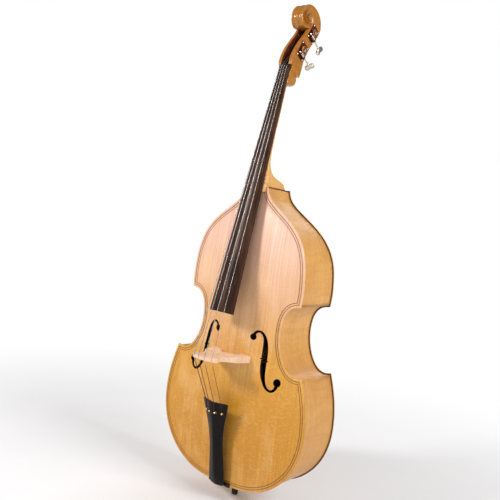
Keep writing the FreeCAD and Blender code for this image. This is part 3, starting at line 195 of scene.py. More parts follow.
def spline(points, count):
    """count + 1 points on a natural cubic through the points, spaced by chord length."""
    knots = np.array(points, float)
    at = running_length(knots)
    last = len(knots) - 1
    gap = np.diff(at)
    system = np.zeros((last + 1, last + 1))
    target = np.zeros(knots.shape)
    system[0, 0] = system[-1, -1] = 1
    for i in range(1, last):
        system[i, i - 1] = gap[i - 1]
        system[i, i] = 2 * (gap[i - 1] + gap[i])
        system[i, i + 1] = gap[i]
        target[i] = 6 * ((knots[i + 1] - knots[i]) / gap[i]
                         - (knots[i] - knots[i - 1]) / gap[i - 1])
    bend = np.linalg.solve(system, target)
    place = np.linspace(0, at[-1], count + 1)
    k = np.clip(np.searchsorted(at, place, side="right") - 1, 0, last - 1)
    ahead = (at[k + 1] - place)[:, None]
    behind = (place - at[k])[:, None]
    width = gap[k][:, None]
    return ((bend[k] * ahead ** 3 + bend[k + 1] * behind ** 3) / (6 * width)
            + (knots[k] / width - bend[k] * width / 6) * ahead
            + (knots[k + 1] / width - bend[k + 1] * width / 6) * behind)


def resample(points, count):
    """count + 1 evenly spaced points along a polyline."""
    points = np.array(points, float)
    at = running_length(points)
    place = np.linspace(0, at[-1], count + 1)
    return np.stack([np.interp(place, at, column) for column in points.T], 1)


def resample_loop(loop, step):
    """A closed loop respaced to about the given step."""
    closed = np.vstack([loop, loop[:1]])
    length = running_length(closed)[-1]
    return resample(closed, max(8, int(round(length / step))))[:-1]


def linear(table, at):
    """Straight interpolation in a two-column table."""
    return np.interp(at, [row[0] for row in table], [row[1] for row in table])


def hermite(table, at):
    """Smooth interpolation in a two-column table, flat at both ends."""
    at = np.asarray(at, float)
    xs, ys = np.array(table, float).T
    slope = np.zeros(len(xs))
    slope[1:-1] = (ys[2:] - ys[:-2]) / (xs[2:] - xs[:-2])
    k = np.clip(np.searchsorted(xs, at, side="right") - 1, 0, len(xs) - 2)
    width = xs[k + 1] - xs[k]
    t = np.clip((at - xs[k]) / width, 0, 1)
    return ((2 * t ** 3 - 3 * t ** 2 + 1) * ys[k]
            + (t ** 3 - 2 * t ** 2 + t) * width * slope[k]
            + (-2 * t ** 3 + 3 * t ** 2) * ys[k + 1]
            + (t ** 3 - t ** 2) * width * slope[k + 1])


def inside(outline, points):
    """Even-odd test of points in a polygon."""
    outline = np.asarray(outline)
    x, y = points[:, 0], points[:, 1]
    result = np.zeros(len(points), bool)
    for (x0, y0), (x1, y1) in zip(outline, np.roll(outline, 1, axis=0)):
        hit = (y0 > y) != (y1 > y)
        if hit.any():
            hit &= x < (x1 - x0) * (y - y0) / (y1 - y0) + x0
        result ^= hit
    return result


def segment_distance(start, end, points):
    """Distance of points from a segment, and where along it (0 to 1) they are nearest."""
    run = end - start
    share = np.clip(((points - start) @ run) / ((run ** 2).sum() + 1e-12), 0, 1)
    gap = points - start - share[:, None] * run
    return np.sqrt((gap ** 2).sum(1)), share


def line_distance(line, points, closed=True):
    """Distance of points from a polyline."""
    line = np.asarray(line, float)
    best = np.full(len(points), 1e9)
    for i in range(len(line) if closed else len(line) - 1):
        gap, _ = segment_distance(line[i], line[(i + 1) % len(line)], points)
        best = np.minimum(best, gap)
    return best


def staggered_grid(x_from, x_to, z_from, z_to, step_x, step_z):
    """Grid points with every other row shifted by half a step."""
    columns = np.arange(x_from, x_to, step_x)
    rows = np.arange(z_from, z_to, step_z)
    grid = np.stack(np.meshgrid(columns, rows), -1).reshape(-1, 2)
    row = np.round((grid[:, 1] - z_from) / step_z).astype(int)
    grid[:, 0] += np.where(row % 2 == 0, 0.0, step_x / 2)
    return grid


def triangulate(loops, lines, loose):
    """Constrained triangulation of closed loops, open lines and loose points.

    Returns points, triangles, the map from given to resulting point numbers, and centres.
    """
    points, edges = [], []
    for loop in loops:
        first, count = len(points), len(loop)
        points.extend(loop)
        edges.extend([(first + i, first + (i + 1) % count) for i in range(count)])
    for line in lines:
        first = len(points)
        points.extend(line)
        edges.extend([(first + i, first + i + 1) for i in range(len(line) - 1)])
    points.extend(loose)
    flat = [Vector((float(point[0]), float(point[1]))) for point in points]
    verts, _, triangles, sources, _, _ = delaunay_2d_cdt(flat, edges, [], 0, 1e-5)
    verts = np.array([(vert[0], vert[1]) for vert in verts])
    number = {i: k for k, source in enumerate(sources) for i in source}
    centres = np.array([verts[list(triangle)].mean(0) for triangle in triangles])
    return verts, [tuple(triangle) for triangle in triangles], number, centres


def contours(distance, x_from, x_to, y_from, y_to, step, level):
    """Marching squares: closed loops where distance(points) = level."""
    xs = np.arange(x_from, x_to + step, step)
    ys = np.arange(y_from, y_to + step, step)
    grid_x, grid_y = np.meshgrid(xs, ys, indexing="ij")
    field = distance(np.stack([grid_x.ravel(), grid_y.ravel()], 1)).reshape(grid_x.shape) - level
    field = np.where(np.abs(field) < 1e-7, 1e-7, field)

    def place(i, j, axis):
        """Crossing on the grid edge that leaves (i, j) along x (0) or y (1)."""
        if axis == 0:
            share = field[i, j] / (field[i, j] - field[i + 1, j])
            return (xs[i] + share * step, ys[j])
        share = field[i, j] / (field[i, j] - field[i, j + 1])
        return (xs[i], ys[j] + share * step)

    low = field < 0
    corner = low[:-1, :-1]
    mixed = (corner != low[1:, :-1]) | (corner != low[:-1, 1:]) | (corner != low[1:, 1:])
    links = {}
    for i, j in np.argwhere(mixed):
        corners = [low[i, j], low[i + 1, j], low[i + 1, j + 1], low[i, j + 1]]
        sides = [(i, j, 0), (i + 1, j, 1), (i, j + 1, 0), (i, j, 1)]
        crossed = [k for k in range(4) if corners[k] != corners[(k + 1) % 4]]
        for one, other in zip(crossed[::2], crossed[1::2]):
            links.setdefault(sides[one], []).append(sides[other])
            links.setdefault(sides[other], []).append(sides[one])
    loops = []
    while links:
        start = next(iter(links))
        loop, current, previous = [start], links[start][0], start
        while current != start:
            loop.append(current)
            onward = [key for key in links[current] if key != previous]
            previous, current = current, (onward[0] if onward else start)
        for key in loop:
            links.pop(key, None)
        loops.append(np.array([place(*key) for key in loop]))
    return [loop for loop in loops if len(loop) > 12]


# ============================================================ outline of the soundbox
# The +x half of the outline as (x, z), from the neck down to the bottom centre.
BODY_LENGTH = 1112.0
UPPER_BOUT = [
    (48, BODY_LENGTH), (51.5, 1096), (61, 1077), (82, 1054), (106, 1035), (129, 1018),
    (152, 1001), (173, 983.5), (192, 965), (209, 945), (223, 923), (235, 898), (248.5, 852),
    (255, 808), (257.8, 765), (257.2, 730), (254.5, 702)]
WAIST = [
    (254.5, 702), (238, 699), (224, 694.5), (211, 686), (199, 671.5), (190, 651), (185.5, 628),
    (184, 603), (185.8, 576), (192, 545), (205, 512), (223, 484), (241, 468.5), (259, 461.5),
    (277, 461), (294.3, 465)]
LOWER_BOUT = [
    (294.3, 465), (310, 418), (322.5, 370), (330, 323), (332.5, 280), (330.5, 237), (321, 190),
    (302, 143), (273, 100), (236, 63.5), (190, 33.5), (140, 13.5), (88, 3.8), (40, 0.6), (0, 0)]
UPPER_CURVE, WAIST_CURVE, LOWER_CURVE = (
    spline(points, 260) for points in (UPPER_BOUT, WAIST, LOWER_BOUT))
UPPER_STEPS, WAIST_STEPS, LOWER_STEPS, TOP_STEPS = 120, 100, 150, 26


def inset_curve(curve, inset, level_end=False):
    """The curve moved towards the inside; level_end makes its last tangent horizontal."""
    tangent = np.gradient(curve, axis=0)
    tangent /= np.sqrt((tangent ** 2).sum(1))[:, None]
    if level_end:
        tangent[-1] = (-1, 0)
    return np.stack([curve[:, 0] + inset * tangent[:, 1],
                     curve[:, 1] - inset * tangent[:, 0]], 1)


def meet(first, second):
    """Both curves cut back to where they cross."""
    run = second[1:] - second[:-1]
    for i in range(len(first) - 2, -1, -1):
        step = first[i + 1] - first[i]
        cross = step[0] * run[:, 1] - step[1] * run[:, 0]
        cross = np.where(np.abs(cross) < 1e-12, 1e-12, cross)
        gap = second[:-1] - first[i]
        t = (gap[:, 0] * run[:, 1] - gap[:, 1] * run[:, 0]) / cross
        u = (gap[:, 0] * step[1] - gap[:, 1] * step[0]) / cross
        hit = (t >= -1e-9) & (t <= 1 + 1e-9) & (u >= -1e-9) & (u <= 1 + 1e-9)
        if hit.any():
            j = int(np.argmax(hit))
            corner = first[i] + t[j] * step
            return np.vstack([first[:i + 1], corner]), np.vstack([corner, second[j + 1:]])


def half_outline(inset):
    upper = inset_curve(UPPER_CURVE, inset)
    waist = inset_curve(WAIST_CURVE, inset)
    lower = inset_curve(LOWER_CURVE, inset, level_end=True)
    if inset > 0:
        upper, waist = meet(upper, waist)
        waist, lower = meet(waist, lower)
        lower[-1, 0] = 0.0
    top = BODY_LENGTH - inset
    if upper[0, 1] > top:
        k = 0
        while upper[k + 1, 1] > top:
            k += 1
        share = (upper[k, 1] - top) / (upper[k, 1] - upper[k + 1, 1])
        upper = np.vstack([upper[k] + share * (upper[k + 1] - upper[k]), upper[k + 1:]])
    else:
        upper[0, 1] = top
    return upper, waist, lower


def ring(inset):
    """Closed outline, inset; the same point count for every inset, from the +x top corner."""
    upper, waist, lower = half_outline(inset)
    plus = np.vstack([resample(upper, UPPER_STEPS), resample(waist, WAIST_STEPS)[1:],
                      resample(lower, LOWER_STEPS)[1:]])
    minus = plus[::-1][1:].copy()
    minus[:, 0] *= -1
    top = np.linspace(minus[-1], plus[0], TOP_STEPS + 1)[1:-1]
    return np.vstack([plus, minus, top])


# ============================================================ surfaces of the two plates
PLATE_THICK = 6.5
# y of the back plate's edge plane: (z, y)
BACK_PROFILE = [
    (-20, 201.0), (700, 201.0), (800, 200.5), (850, 198.0), (890, 191.0), (930, 180.5),
    (970, 168.0), (1010, 157.0), (1050, 150.0), (1085, 147.5), (1125, 147.0)]
# half width of the front's arching: (z, half width)
DOME_WIDTH = [
    (22, 0), (33, 118), (63, 185), (101, 232), (143, 264), (190, 286), (240, 298), (280, 301),
    (320, 298), (370, 284), (418, 254), (465, 214), (512, 180), (546, 166), (575, 161),
    (605, 159), (640, 162), (671, 171), (702, 187), (740, 206), (780, 218), (820, 222),
    (860, 217), (898, 203), (923, 189), (945, 175), (965, 156), (983, 137), (1001, 115),
    (1018, 92), (1035, 68), (1054, 42), (1075, 16), (1090, 0)]
DOME_HEIGHT = 32.0
DOME_BOTTOM, DOME_TOP = DOME_WIDTH[0][0], DOME_WIDTH[-1][0]


def front_plane(x, z):
    """y of the arched front."""
    middle = (DOME_BOTTOM + DOME_TOP) / 2
    reach = (DOME_TOP - DOME_BOTTOM) / 2
    along = np.clip(np.abs(z - middle) / reach, 0, 1)
    height = DOME_HEIGHT * (1 - along ** 3.5) ** 1.5
    width = np.maximum(hermite(DOME_WIDTH, z), 1.0)
    width = np.where((z < DOME_BOTTOM) | (z > DOME_TOP), 1.0, width)
    across = np.clip(np.abs(x) / width, 0, 1)
    return -height * (1 - across * across) ** 1.5


def back_plane(x, z):
    """y of the back, which bends forward towards the neck."""
    return hermite(BACK_PROFILE, z)


# distances from the edge at which the rim is modelled
RIM_INSETS = [0.0, 0.25, 0.8, 1.6, 2.6, 4.0, 5.6, 7.4, 8.9, 9.1, 10.9, 11.1, 13.0, 15.0, 16.9,
              17.1, 18.9, 19.1, 21.5, 25.0]
NOSE_R = 2.6


def rim_height(inset):
    """Outward height over the edge plane: rounded nose, raised bead, shallow channel."""
    nose = 0.0
    if inset < NOSE_R:
        nose = -NOSE_R + math.sqrt(max(NOSE_R ** 2 - (NOSE_R - inset) ** 2, 0))
    bead = 0.5 * math.exp(-((inset - 4.2) / 2.2) ** 2)
    channel = -1.1 * math.exp(-((inset - 13.5) / 5.2) ** 2)
    return nose + bead + channel


# ============================================================ f-holes
# centre line of the slot: (x, z, half width)
F_SLOT = [
    (86, 574, 5.0), (90, 585, 3.6), (103, 592, 2.6), (117, 587, 3.2), (127, 573, 4.8),
    (132.5, 552, 7.4), (135.5, 525, 9.2), (137, 498, 10.0), (138.5, 470, 9.6), (143, 442, 7.8),
    (152, 417, 5.2), (166, 399, 3.4), (183, 394.5, 2.8), (196, 404, 3.8), (201, 420, 5.5)]
F_EYES = [((84, 569.5), 10.5), ((201, 428), 13.0)]              # (x, z), radius
F_NOTCHES = [(147.0, 1, 493.0), (127.0, -1, 499.0)]             # x, side it points to, z
F_WIDEN = 1.2                       # the whole opening is this much wider all round
F_LIP = 0.9                         # radius of the rounded outer lip
F_LEVELS = (0.0, 0.3, F_LIP)        # distances from the opening that get a loop of edges
F_CURVE = spline(F_SLOT, 90)


def f_distance(points):
    """Signed distance from the f-holes, negative in the opening."""
    points = np.stack([np.abs(points[:, 0]), points[:, 1]], 1)
    best = np.full(len(points), 1e9)
    for start, end in zip(F_CURVE, F_CURVE[1:]):
        gap, share = segment_distance(start[:2], end[:2], points)
        best = np.minimum(best, gap - (start[2] + share * (end[2] - start[2])))
    for centre, radius in F_EYES:
        gap = np.sqrt(((points - np.array(centre)) ** 2).sum(1))
        best = np.minimum(best, gap - radius)
    for tip_x, side, tip_z in F_NOTCHES:
        out = side * (points[:, 0] - tip_x)
        flanks = (np.abs(points[:, 1] - tip_z) * 1.25 + out - 3.8) * 0.62
        best = np.minimum(best, np.maximum(flanks, -out - 4.0))
    return best - F_WIDEN


def f_loops(level):
    plus = resample_loop(contours(f_distance, 60, 230, 375, 610, 0.7, level)[0], 2.2)
    minus = plus.copy()
    minus[:, 0] *= -1
    return [plus, minus]


# ============================================================ the two plates
def plate(name, edge_plane, outward, holes):
    """outward is the y sense of the outer face; holes is a list of loop pairs, opening first."""
    rings = [ring(inset) for inset in RIM_INSETS]
    rim = rings[-1]
    count = len(rim)

    # flat triangulation inside the innermost ring, shared by both faces
    grid = staggered_grid(-340, 341, 5, 1110, 7.0, 7.0)
    grid = grid[inside(rim, grid)]
    grid = grid[line_distance(rim[::3], grid) > 3.5]
    if holes:
        grid = grid[f_distance(grid) > 3.2]
    loops = [rim] + [loop for pair in holes for loop in pair]
    points, triangles, number, centres = triangulate(loops, [], grid)
    keep = inside(rim, centres)
    openings = holes[0] if holes else []
    for loop in openings:
        keep &= ~inside(loop, centres)

    verts, faces, ring_starts, field_starts = [], [], [], []
    for outer in (True, False):
        base = len(verts)
        for inset, loop in zip(RIM_INSETS, rings):
            height = rim_height(inset)
            y = edge_plane(loop[:, 0], loop[:, 1])
            if outer:
                y = y + outward * height
            else:
                height = min(height, 0.0) if inset < NOSE_R else 0.0
                y = y - outward * PLATE_THICK - outward * height
            verts.extend(zip(loop[:, 0], y, loop[:, 1]))
        for k in range(len(rings) - 1):
            start = base + k * count
            faces += strip(range(start, start + count), range(start + count, start + 2 * count))

        y = edge_plane(points[:, 0], points[:, 1])
        if outer:
            height = np.full(len(points), rim_height(RIM_INSETS[-1]))
            if holes:
                gap = np.clip(f_distance(points), 0, None)
                rounding = F_LIP - np.sqrt(np.clip(F_LIP ** 2 - (F_LIP - gap) ** 2, 0, None))
                height = height - np.where(gap < F_LIP, rounding, 0.0)
            y = y + outward * height
        else:
            y = y - outward * PLATE_THICK
        field = len(verts)
        verts.extend(zip(points[:, 0], y, points[:, 1]))
        faces += [tuple(field + i for i in triangle)
                  for triangle, kept in zip(triangles, keep) if kept]
        ring_starts.append(base)
        field_starts.append(field)

    # walls round the outline and in the openings
    faces += strip(*(range(start, start + count) for start in ring_starts))
    first = count
    for loop in openings:
        faces += strip(*([field + number[first + i] for i in range(len(loop))]
                         for field in field_starts))
        first += len(loop)
    return make_mesh(name, verts, faces, 50)


front = plate("top_plate_carved", front_plane, -1, [f_loops(level) for level in F_LEVELS])
subtract(front, box_cutter(half_width=43.05, half_depth=60, bottom=1090, top=1200))
subtract(front, box_cutter(half_width=48.05, half_depth=60, bottom=-30, top=11.0))
tidy(front, 50)
hand_over(front, "top_plate")

back = plate("back_plate_bent", back_plane, 1, [])
hand_over(back, "back_plate")

# ============================================================ pegbox and scroll
# The cheek is a side profile in (y, z); its half width across x varies over the profile.
EYE = np.array([150.0, 1770.0])     # centre of the volute
EYE_R = 10.8
THROAT, LAST_TURN = 281.0, 900.0    # angles where the spiral leaves the pegbox and where it ends
PEG_FRONT = [(70.5, 1575), (72.5, 1592), (80, 1616), (94, 1643), (111, 1668), (130, 1693),
             (147, 1715), (157, 1733)]
PEG_BACK = [
    (137.5, 1541), (141, 1556), (144, 1580), (149.5, 1606), (160, 1632), (174, 1656), (191, 1681),
    (209, 1703), (225, 1727), (234, 1748), (236, 1768), (231, 1787), (219, 1804), (200, 1817),
    (178, 1823.5), (155, 1823), (134, 1815), (119, 1802), (110, 1784), (108.5, 1765),
    (114, 1747), (124.5, 1735), (137, 1730.5)]
STEP_CORNER, FOOT_CORNER = (84, 1573), (73.4, 1541)
# outer radius of the spiral: (angle in degrees, radius)
SPIRAL_R = [
    (-90, 120), (-45, 100), (0, 86), (45, 68), (90, 53), (135, 44.5), (180, 42), (225, 41.5),
    (270, 39.0), (THROAT, 37.7), (315, 35.4), (360, 32.6), (405, 30.0), (450, 27.5), (495, 25.0),
    (540, 22.8), (585, 20.9), (630, 19.1), (675, 17.4), (720, 15.8), (765, 14.3), (810, 13.0),
    (855, 11.8), (LAST_TURN, EYE_R), (1260, EYE_R)]
# half width over the spiral: (angle, half width)
SPIRAL_WIDTH = [(0, 28.2), (45, 26.0), (90, 24.8), (180, 25.0), (270, 27.0), (360, 29.2),
                (450, 30.9), (540, 32.3), (630, 33.4), (720, 34.3), (810, 35.0), (900, 35.6),
                (1300, 35.6)]
# depth of the scooped channel: (angle, depth)
SCOOP_DEPTH = [(-12, 0), (60, 4.6), (360, 5.0), (540, 4.2), (720, 2.6), (860, 1.2), (900, 0)]
# half width of the pegbox: (z, half width)
PEGBOX_WIDTH = [(1530, 26.4), (1560, 28.5), (1585, 30.0), (1740, 30.0), (1752, 29.8),
                (1790, 27.0), (1830, 25.0)]
# edge lines laid along the spiral: inset, last angle, smallest radius
SPIRAL_LINES = [(0.0, 1215, 0.0), (0.75, 1200, 0.0), (2.4, 1200, 12.5)]
# columns across the perimeter band as shares of the half width
BAND_HALF = [0.93, 0.885, 0.87, 0.80, 0.70, 0.58, 0.46, 0.34, 0.22, 0.13, 0.085, 0.05]
FLUTE_FROM, FLUTE_TO, FLUTE_DEPTH = 0.085, 0.87, 3.6
BACK_STEPS = 190
CHEEK = np.vstack([
    resample(spline(PEG_BACK, 400), BACK_STEPS),
    resample([PEG_BACK[-1], PEG_FRONT[-1]], 8)[1:],
    resample(spline(PEG_FRONT[::-1], 160), 74)[1:],
    resample([PEG_FRONT[0], STEP_CORNER], 5)[1:],
    resample([STEP_CORNER, FOOT_CORNER], 12)[1:],
    resample([FOOT_CORNER, PEG_BACK[0]], 22)[1:-1]])


def spiral_place(points):
    """Angle along the spiral (growing inward past 360) and radius about the eye."""
    offset = points - EYE
    radius = np.sqrt((offset ** 2).sum(1))
    angle = np.degrees(np.arctan2(offset[:, 1], offset[:, 0])) % 360.0
    before = (angle > THROAT) | ((angle > 200.0) & (radius > 38.6 + (THROAT - angle) * 0.22))
    turn = np.where(before, angle - 360.0, angle)
    for lap in range(4):
        deeper = angle + 360.0 * lap
        within = (deeper >= THROAT) & (radius < linear(SPIRAL_R, deeper) - 0.35)
        turn = np.where(within & (deeper > turn), deeper, turn)
    return turn, radius


def cheek_width(points, edge_gap):
    """Half width of the head; edge_gap is the distance from the profile's edge."""
    turn, radius = spiral_place(points)
    on_pegbox = turn < THROAT
    spiral_width = linear(SPIRAL_WIDTH, turn)
    blend = np.clip((turn + 10.0) / 40.0, 0, 1)
    blended = linear(PEGBOX_WIDTH, points[:, 1]) * (1 - blend) + spiral_width * blend
    width = np.where(on_pegbox, blended, spiral_width)
    inner_gap = np.clip(radius - linear(SPIRAL_R, turn + 360.0), 0, None)
    outer_gap = np.where(on_pegbox, edge_gap, np.clip(linear(SPIRAL_R, turn) - radius, 0, None))
    across = outer_gap / (outer_gap + inner_gap + 1e-6)
    dip = np.clip((across - 0.07) / 0.72, 0, 1)
    scoop = linear(SCOOP_DEPTH, turn) * np.sin(0.5 * math.pi * dip) ** 1.3
    eye = (turn >= 860) & (radius < EYE_R)
    carved = np.where(eye, width - 0.96 * (radius / EYE_R) ** 2, width - scoop)
    # eased lip 1.8 wide and 1.1 deep
    return carved - np.where(outer_gap < 1.8, 1.1 * (1 - outer_gap / 1.8) ** 2, 0)


def cheek_distance(points):
    """Signed distance from the cheek's edge, positive inside."""
    gap = line_distance(CHEEK, points)
    return np.where(inside(CHEEK, points), gap, -gap)


def spiral_line(inset, last_angle, least_radius):
    line = []
    turn = 283.5
    while turn < last_angle:
        radius = linear(SPIRAL_R, turn) - inset
        angle = math.radians(turn)
        if radius > least_radius:
            line.append((EYE[0] + radius * math.cos(angle), EYE[1] + radius * math.sin(angle)))
        turn += math.degrees(1.5 / radius)
    return line


def head_mesh():
    loops = [CHEEK]
    for level in (0.6, 1.8):
        found = contours(cheek_distance, 60, 250, 1530, 1835, 1.6, level)
        loops.append(resample_loop(sorted(found, key=len)[-1], 2.6))
    lines = [spiral_line(*row) for row in SPIRAL_LINES]
    grid = staggered_grid(62, 240, 1535, 1828, 2.7, 2.4)
    grid = grid[inside(CHEEK, grid)]
    grid = grid[line_distance(CHEEK, grid) > 2.9]
    keep = np.ones(len(grid), bool)
    for line in lines:
        keep &= line_distance(line, grid, closed=False) > 0.9
    points, triangles, number, centres = triangulate(loops, lines, grid[keep])
    widths = cheek_width(points, np.clip(cheek_distance(points), 0, None))

    # both cheeks
    count = len(points)
    verts = [(side * width, y, z) for side in (1, -1) for width, (y, z) in zip(widths, points)]
    faces = []
    for triangle, kept in zip(triangles, inside(CHEEK, centres)):
        if kept:
            faces.append(triangle)
            faces.append(tuple(count + i for i in triangle[::-1]))

    # perimeter band, fluted along the back and over the volute
    rim = len(CHEEK)
    tangent = np.roll(CHEEK, -1, 0) - np.roll(CHEEK, 1, 0)
    tangent /= np.sqrt((tangent ** 2).sum(1))[:, None]
    inward = np.stack([-tangent[:, 1], tangent[:, 0]], 1)
    inward[~inside(CHEEK, CHEEK + inward * 0.5)] *= -1
    at = running_length(CHEEK[:BACK_STEPS + 1])
    depth = np.zeros(rim)
    depth[:BACK_STEPS + 1] = (FLUTE_DEPTH * np.clip((at - 18) / 30, 0, 1)
                              * np.clip((at[-1] - at) / 22, 0, 1))
    columns = [[number[i] for i in range(rim)]]
    for share in BAND_HALF + [0.0] + [-share for share in BAND_HALF[::-1]]:
        flute = 0.0
        if FLUTE_FROM < abs(share) < FLUTE_TO:
            phase = (abs(share) - FLUTE_FROM) / (FLUTE_TO - FLUTE_FROM)
            flute = math.sin(math.pi * phase) ** 0.75
        base = len(verts)
        for i in range(rim):
            y, z = CHEEK[i] + inward[i] * (depth[i] * flute)
            verts.append((share * widths[number[i]], y, z))
        columns.append(range(base, base + rim))
    columns.append([count + number[i] for i in range(rim)])
    for one, other in zip(columns, columns[1:]):
        faces += strip(one, other)
    return make_mesh("pegbox_and_scroll", verts, faces, 34)


# the string chamber: its curved rear wall, then the corners of its open front, as (y, z)
CHAMBER_HALF = 17.6
CHAMBER_WALL = [(112, 1577), (128, 1580), (134, 1606), (145, 1634), (158, 1658), (175, 1683),
                (192, 1706), (197, 1719), (190, 1728), (174, 1729.5), (160, 1728.5)]
CHAMBER = np.vstack([resample(spline(CHAMBER_WALL, 200), 70),
                     [(130, 1722), (20, 1600), (40, 1567)]])
# tuning machines: roller (y, z), side of the plate (x sense), tilt of the plate in degrees
MACHINES = [((113.0, 1610.0), -1, 22.5), ((131.0, 1640.0), 1, 26.5),
            ((161.0, 1681.0), -1, 29.0), ((187.0, 1721.0), 1, 32.0)]


def machine_holes():
    """A bore for each roller and four screw holes for each plate."""
    holes = []
    for (y, z), side, tilt in MACHINES:
        holes.append(rod_cutter([(-side * 25.4, y, z), (side * 45, y, z)], 6.26, 40))
        tilt = math.radians(tilt)
        along = np.array([0, math.sin(tilt), math.cos(tilt)])
        across = np.array([0, math.cos(tilt), -math.sin(tilt)])
        for offset_along in (-30.5, 26.5):
            for offset_across in (-17.5, 17.5):
                spot = np.array([0, y, z]) + along * offset_along + across * offset_across
                holes.append(rod_cutter([(side * 17.0, spot[1], spot[2]),
                                         (side * 45, spot[1], spot[2])], 1.95, 16))
    return join(holes)


head = head_mesh()
subtract(head, prism_cutter(CHAMBER, CHAMBER_HALF))
subtract(head, machine_holes())
tidy(head, 34)
hand_over(head, "pegbox_scroll")

# ============================================================ tailpiece
TAIL_BOTTOM, TAIL_TOP = 2.0, 322.0
TAIL_WIDTH = [(2, 27), (10, 33), (24, 35.5), (50, 35), (90, 33), (130, 31.5), (170, 31.5),
              (205, 34), (240, 40), (270, 47), (295, 53), (322, 58)]             # z, half width
TAIL_RIDGE = [(2, 9), (30, 14), (90, 17), (180, 19), (250, 22), (322, 26)]      # z, ridge height
# points across the roof as shares of the half width, edge to ridge
TAIL_SHARES = [1.0, 0.985, 0.94, 0.85, 0.72, 0.58, 0.44, 0.32, 0.2, 0.1, 0.04, 0.0]
TAIL_STATIONS = [TAIL_BOTTOM, 2.4, 3.2, *np.linspace(5, 319, 70), 320.6, 321.6, TAIL_TOP]
# how much the sections at the rounded ends shrink: z, amount
TAIL_SHRINK = {TAIL_BOTTOM: 1.3, 2.4: 0.5, 320.6: 0.1, 321.6: 0.5, TAIL_TOP: 1.3}
# strings E, A, D, G: radius, x at the tailpiece, x and y at the bridge
STRINGS = [(1.45, -36.0, -42.0, -183.2), (1.2, -12.5, -14.0, -190.2),
           (1.0, 12.5, 14.0, -190.2), (0.8, 36.0, 42.0, -183.2)]
BRIDGE_Z = 487.0
# bores for the tail wire: centre and direction in (y, z)
WIRE_X, WIRE_Y, WIRE_Z, WIRE_DEPTH = 11.0, -23.4, 28.6, 26
WIRE_RUN_Y, WIRE_RUN_Z = 0.3304, -0.9438


def tail_station(z):
    """Half width, ridge height and y of the tailpiece's edge at height z."""
    y = -20.0 - 64.0 * (z - TAIL_BOTTOM) / (TAIL_TOP - TAIL_BOTTOM)
    return float(hermite(TAIL_WIDTH, z)), float(hermite(TAIL_RIDGE, z)), y


def tail_section(z, shrink):
    """Closed section: crowned roof with a soft ridge, then the hollow underside."""
    width, ridge, y = tail_station(z)
    width -= shrink
    roof = []
    for share in TAIL_SHARES:
        climb = 1 - share
        rise = (ridge * (0.94 * climb ** 0.96 + 0.06 * math.sin(math.pi * climb))
                - 0.9 * math.exp(-(share * width / 3.0) ** 2) - 0.3)
        ease = {1.0: 0.9, 0.985: 0.25}.get(share, 0.0)
        lowered = shrink * 0.8 if share < 1 else 0
        roof.append((-share * width, y - max(rise, 0) + ease + lowered))
    roof += [(-point[0], point[1]) for point in roof[-2::-1]]
    hollow = ridge - 8.0
    low = y + 3.0
    under = [(width, y + 2.4), (width - 0.8, low), (width * 0.5, low - hollow * 0.5),
             (0, low - hollow), (-width * 0.5, low - hollow * 0.5), (-width + 0.8, low),
             (-width, y + 2.4)]
    return [(point[0], point[1], z) for point in roof + under]


def tail_mesh():
    sections = [tail_section(z, TAIL_SHRINK.get(z, 0.0)) for z in TAIL_STATIONS]
    count = len(sections[0])
    starts = range(0, len(sections) * count, count)
    faces = []
    for one, other in zip(starts, starts[1:]):
        faces += strip(range(one, one + count), range(other, other + count))
    faces.append(tuple(range(count)))
    faces.append(tuple(range(starts[-1], starts[-1] + count)))
    verts = [point for section in sections for point in section]
    return make_mesh("tailpiece_carved", verts, faces, 28)


def tail_roof(x, z):
    """Approximate y of the roof, as two straight flanks."""
    width, ridge, y = tail_station(z)
    knee = width * 0.55
    if abs(x) < knee:
        return (y - ridge + 0.6) + max(abs(x) - 5, 0) / (knee - 5) * (ridge * 0.48 - 0.6)
    return (y - ridge * 0.52) + (abs(x) - knee) / (width * 0.45) * (ridge * 0.52)


def string_cutters():
    """For each string a round hole for its ball end and a slot towards the bridge."""
    holes = []
    for radius, x, bridge_x, bridge_y in STRINGS:
        hole_y = tail_roof(x, 287.0) - 1.2
        top_y = tail_roof(x, TAIL_TOP) - 0.4
        holes.append(rod_cutter([(x, hole_y - 20, 283.8), (x, hole_y + 20, 283.8)], 5.1, 40))
        low = np.array([x, hole_y, 288.0])
        high = np.array([x, top_y, TAIL_TOP])
        run = high - low
        run /= np.linalg.norm(run)
        beyond = high + (np.array([bridge_x, bridge_y, BRIDGE_Z]) - high) * 0.05
        holes.append(rod_cutter([low - run, high, beyond], radius + 0.35, 16))
    return holes


tail = tail_mesh()
for cutter in string_cutters():
    subtract(tail, cutter)
for side in (1, -1):
    mouth = (side * WIRE_X, WIRE_Y, WIRE_Z)
    bottom = (side * WIRE_X, WIRE_Y + WIRE_DEPTH * WIRE_RUN_Y, WIRE_Z + WIRE_DEPTH * WIRE_RUN_Z)
    subtract(tail, rod_cutter([mouth, bottom], 2.5, 24))
tidy(tail, 28)
hand_over(tail, "tailpiece")

# ============================================================ material helpers
WHITE = (255, 255, 255)


def linear_color(color):
    """sRGB 0-255 triple to linear RGBA; a socket passes through."""
    if isinstance(color, bpy.types.NodeSocket):
        return color
    shares = [value / 255.0 for value in color]
    return tuple(share / 12.92 if share <= 0.04045 else ((share + 0.055) / 1.055) ** 2.4
                 for share in shares) + (1.0,)


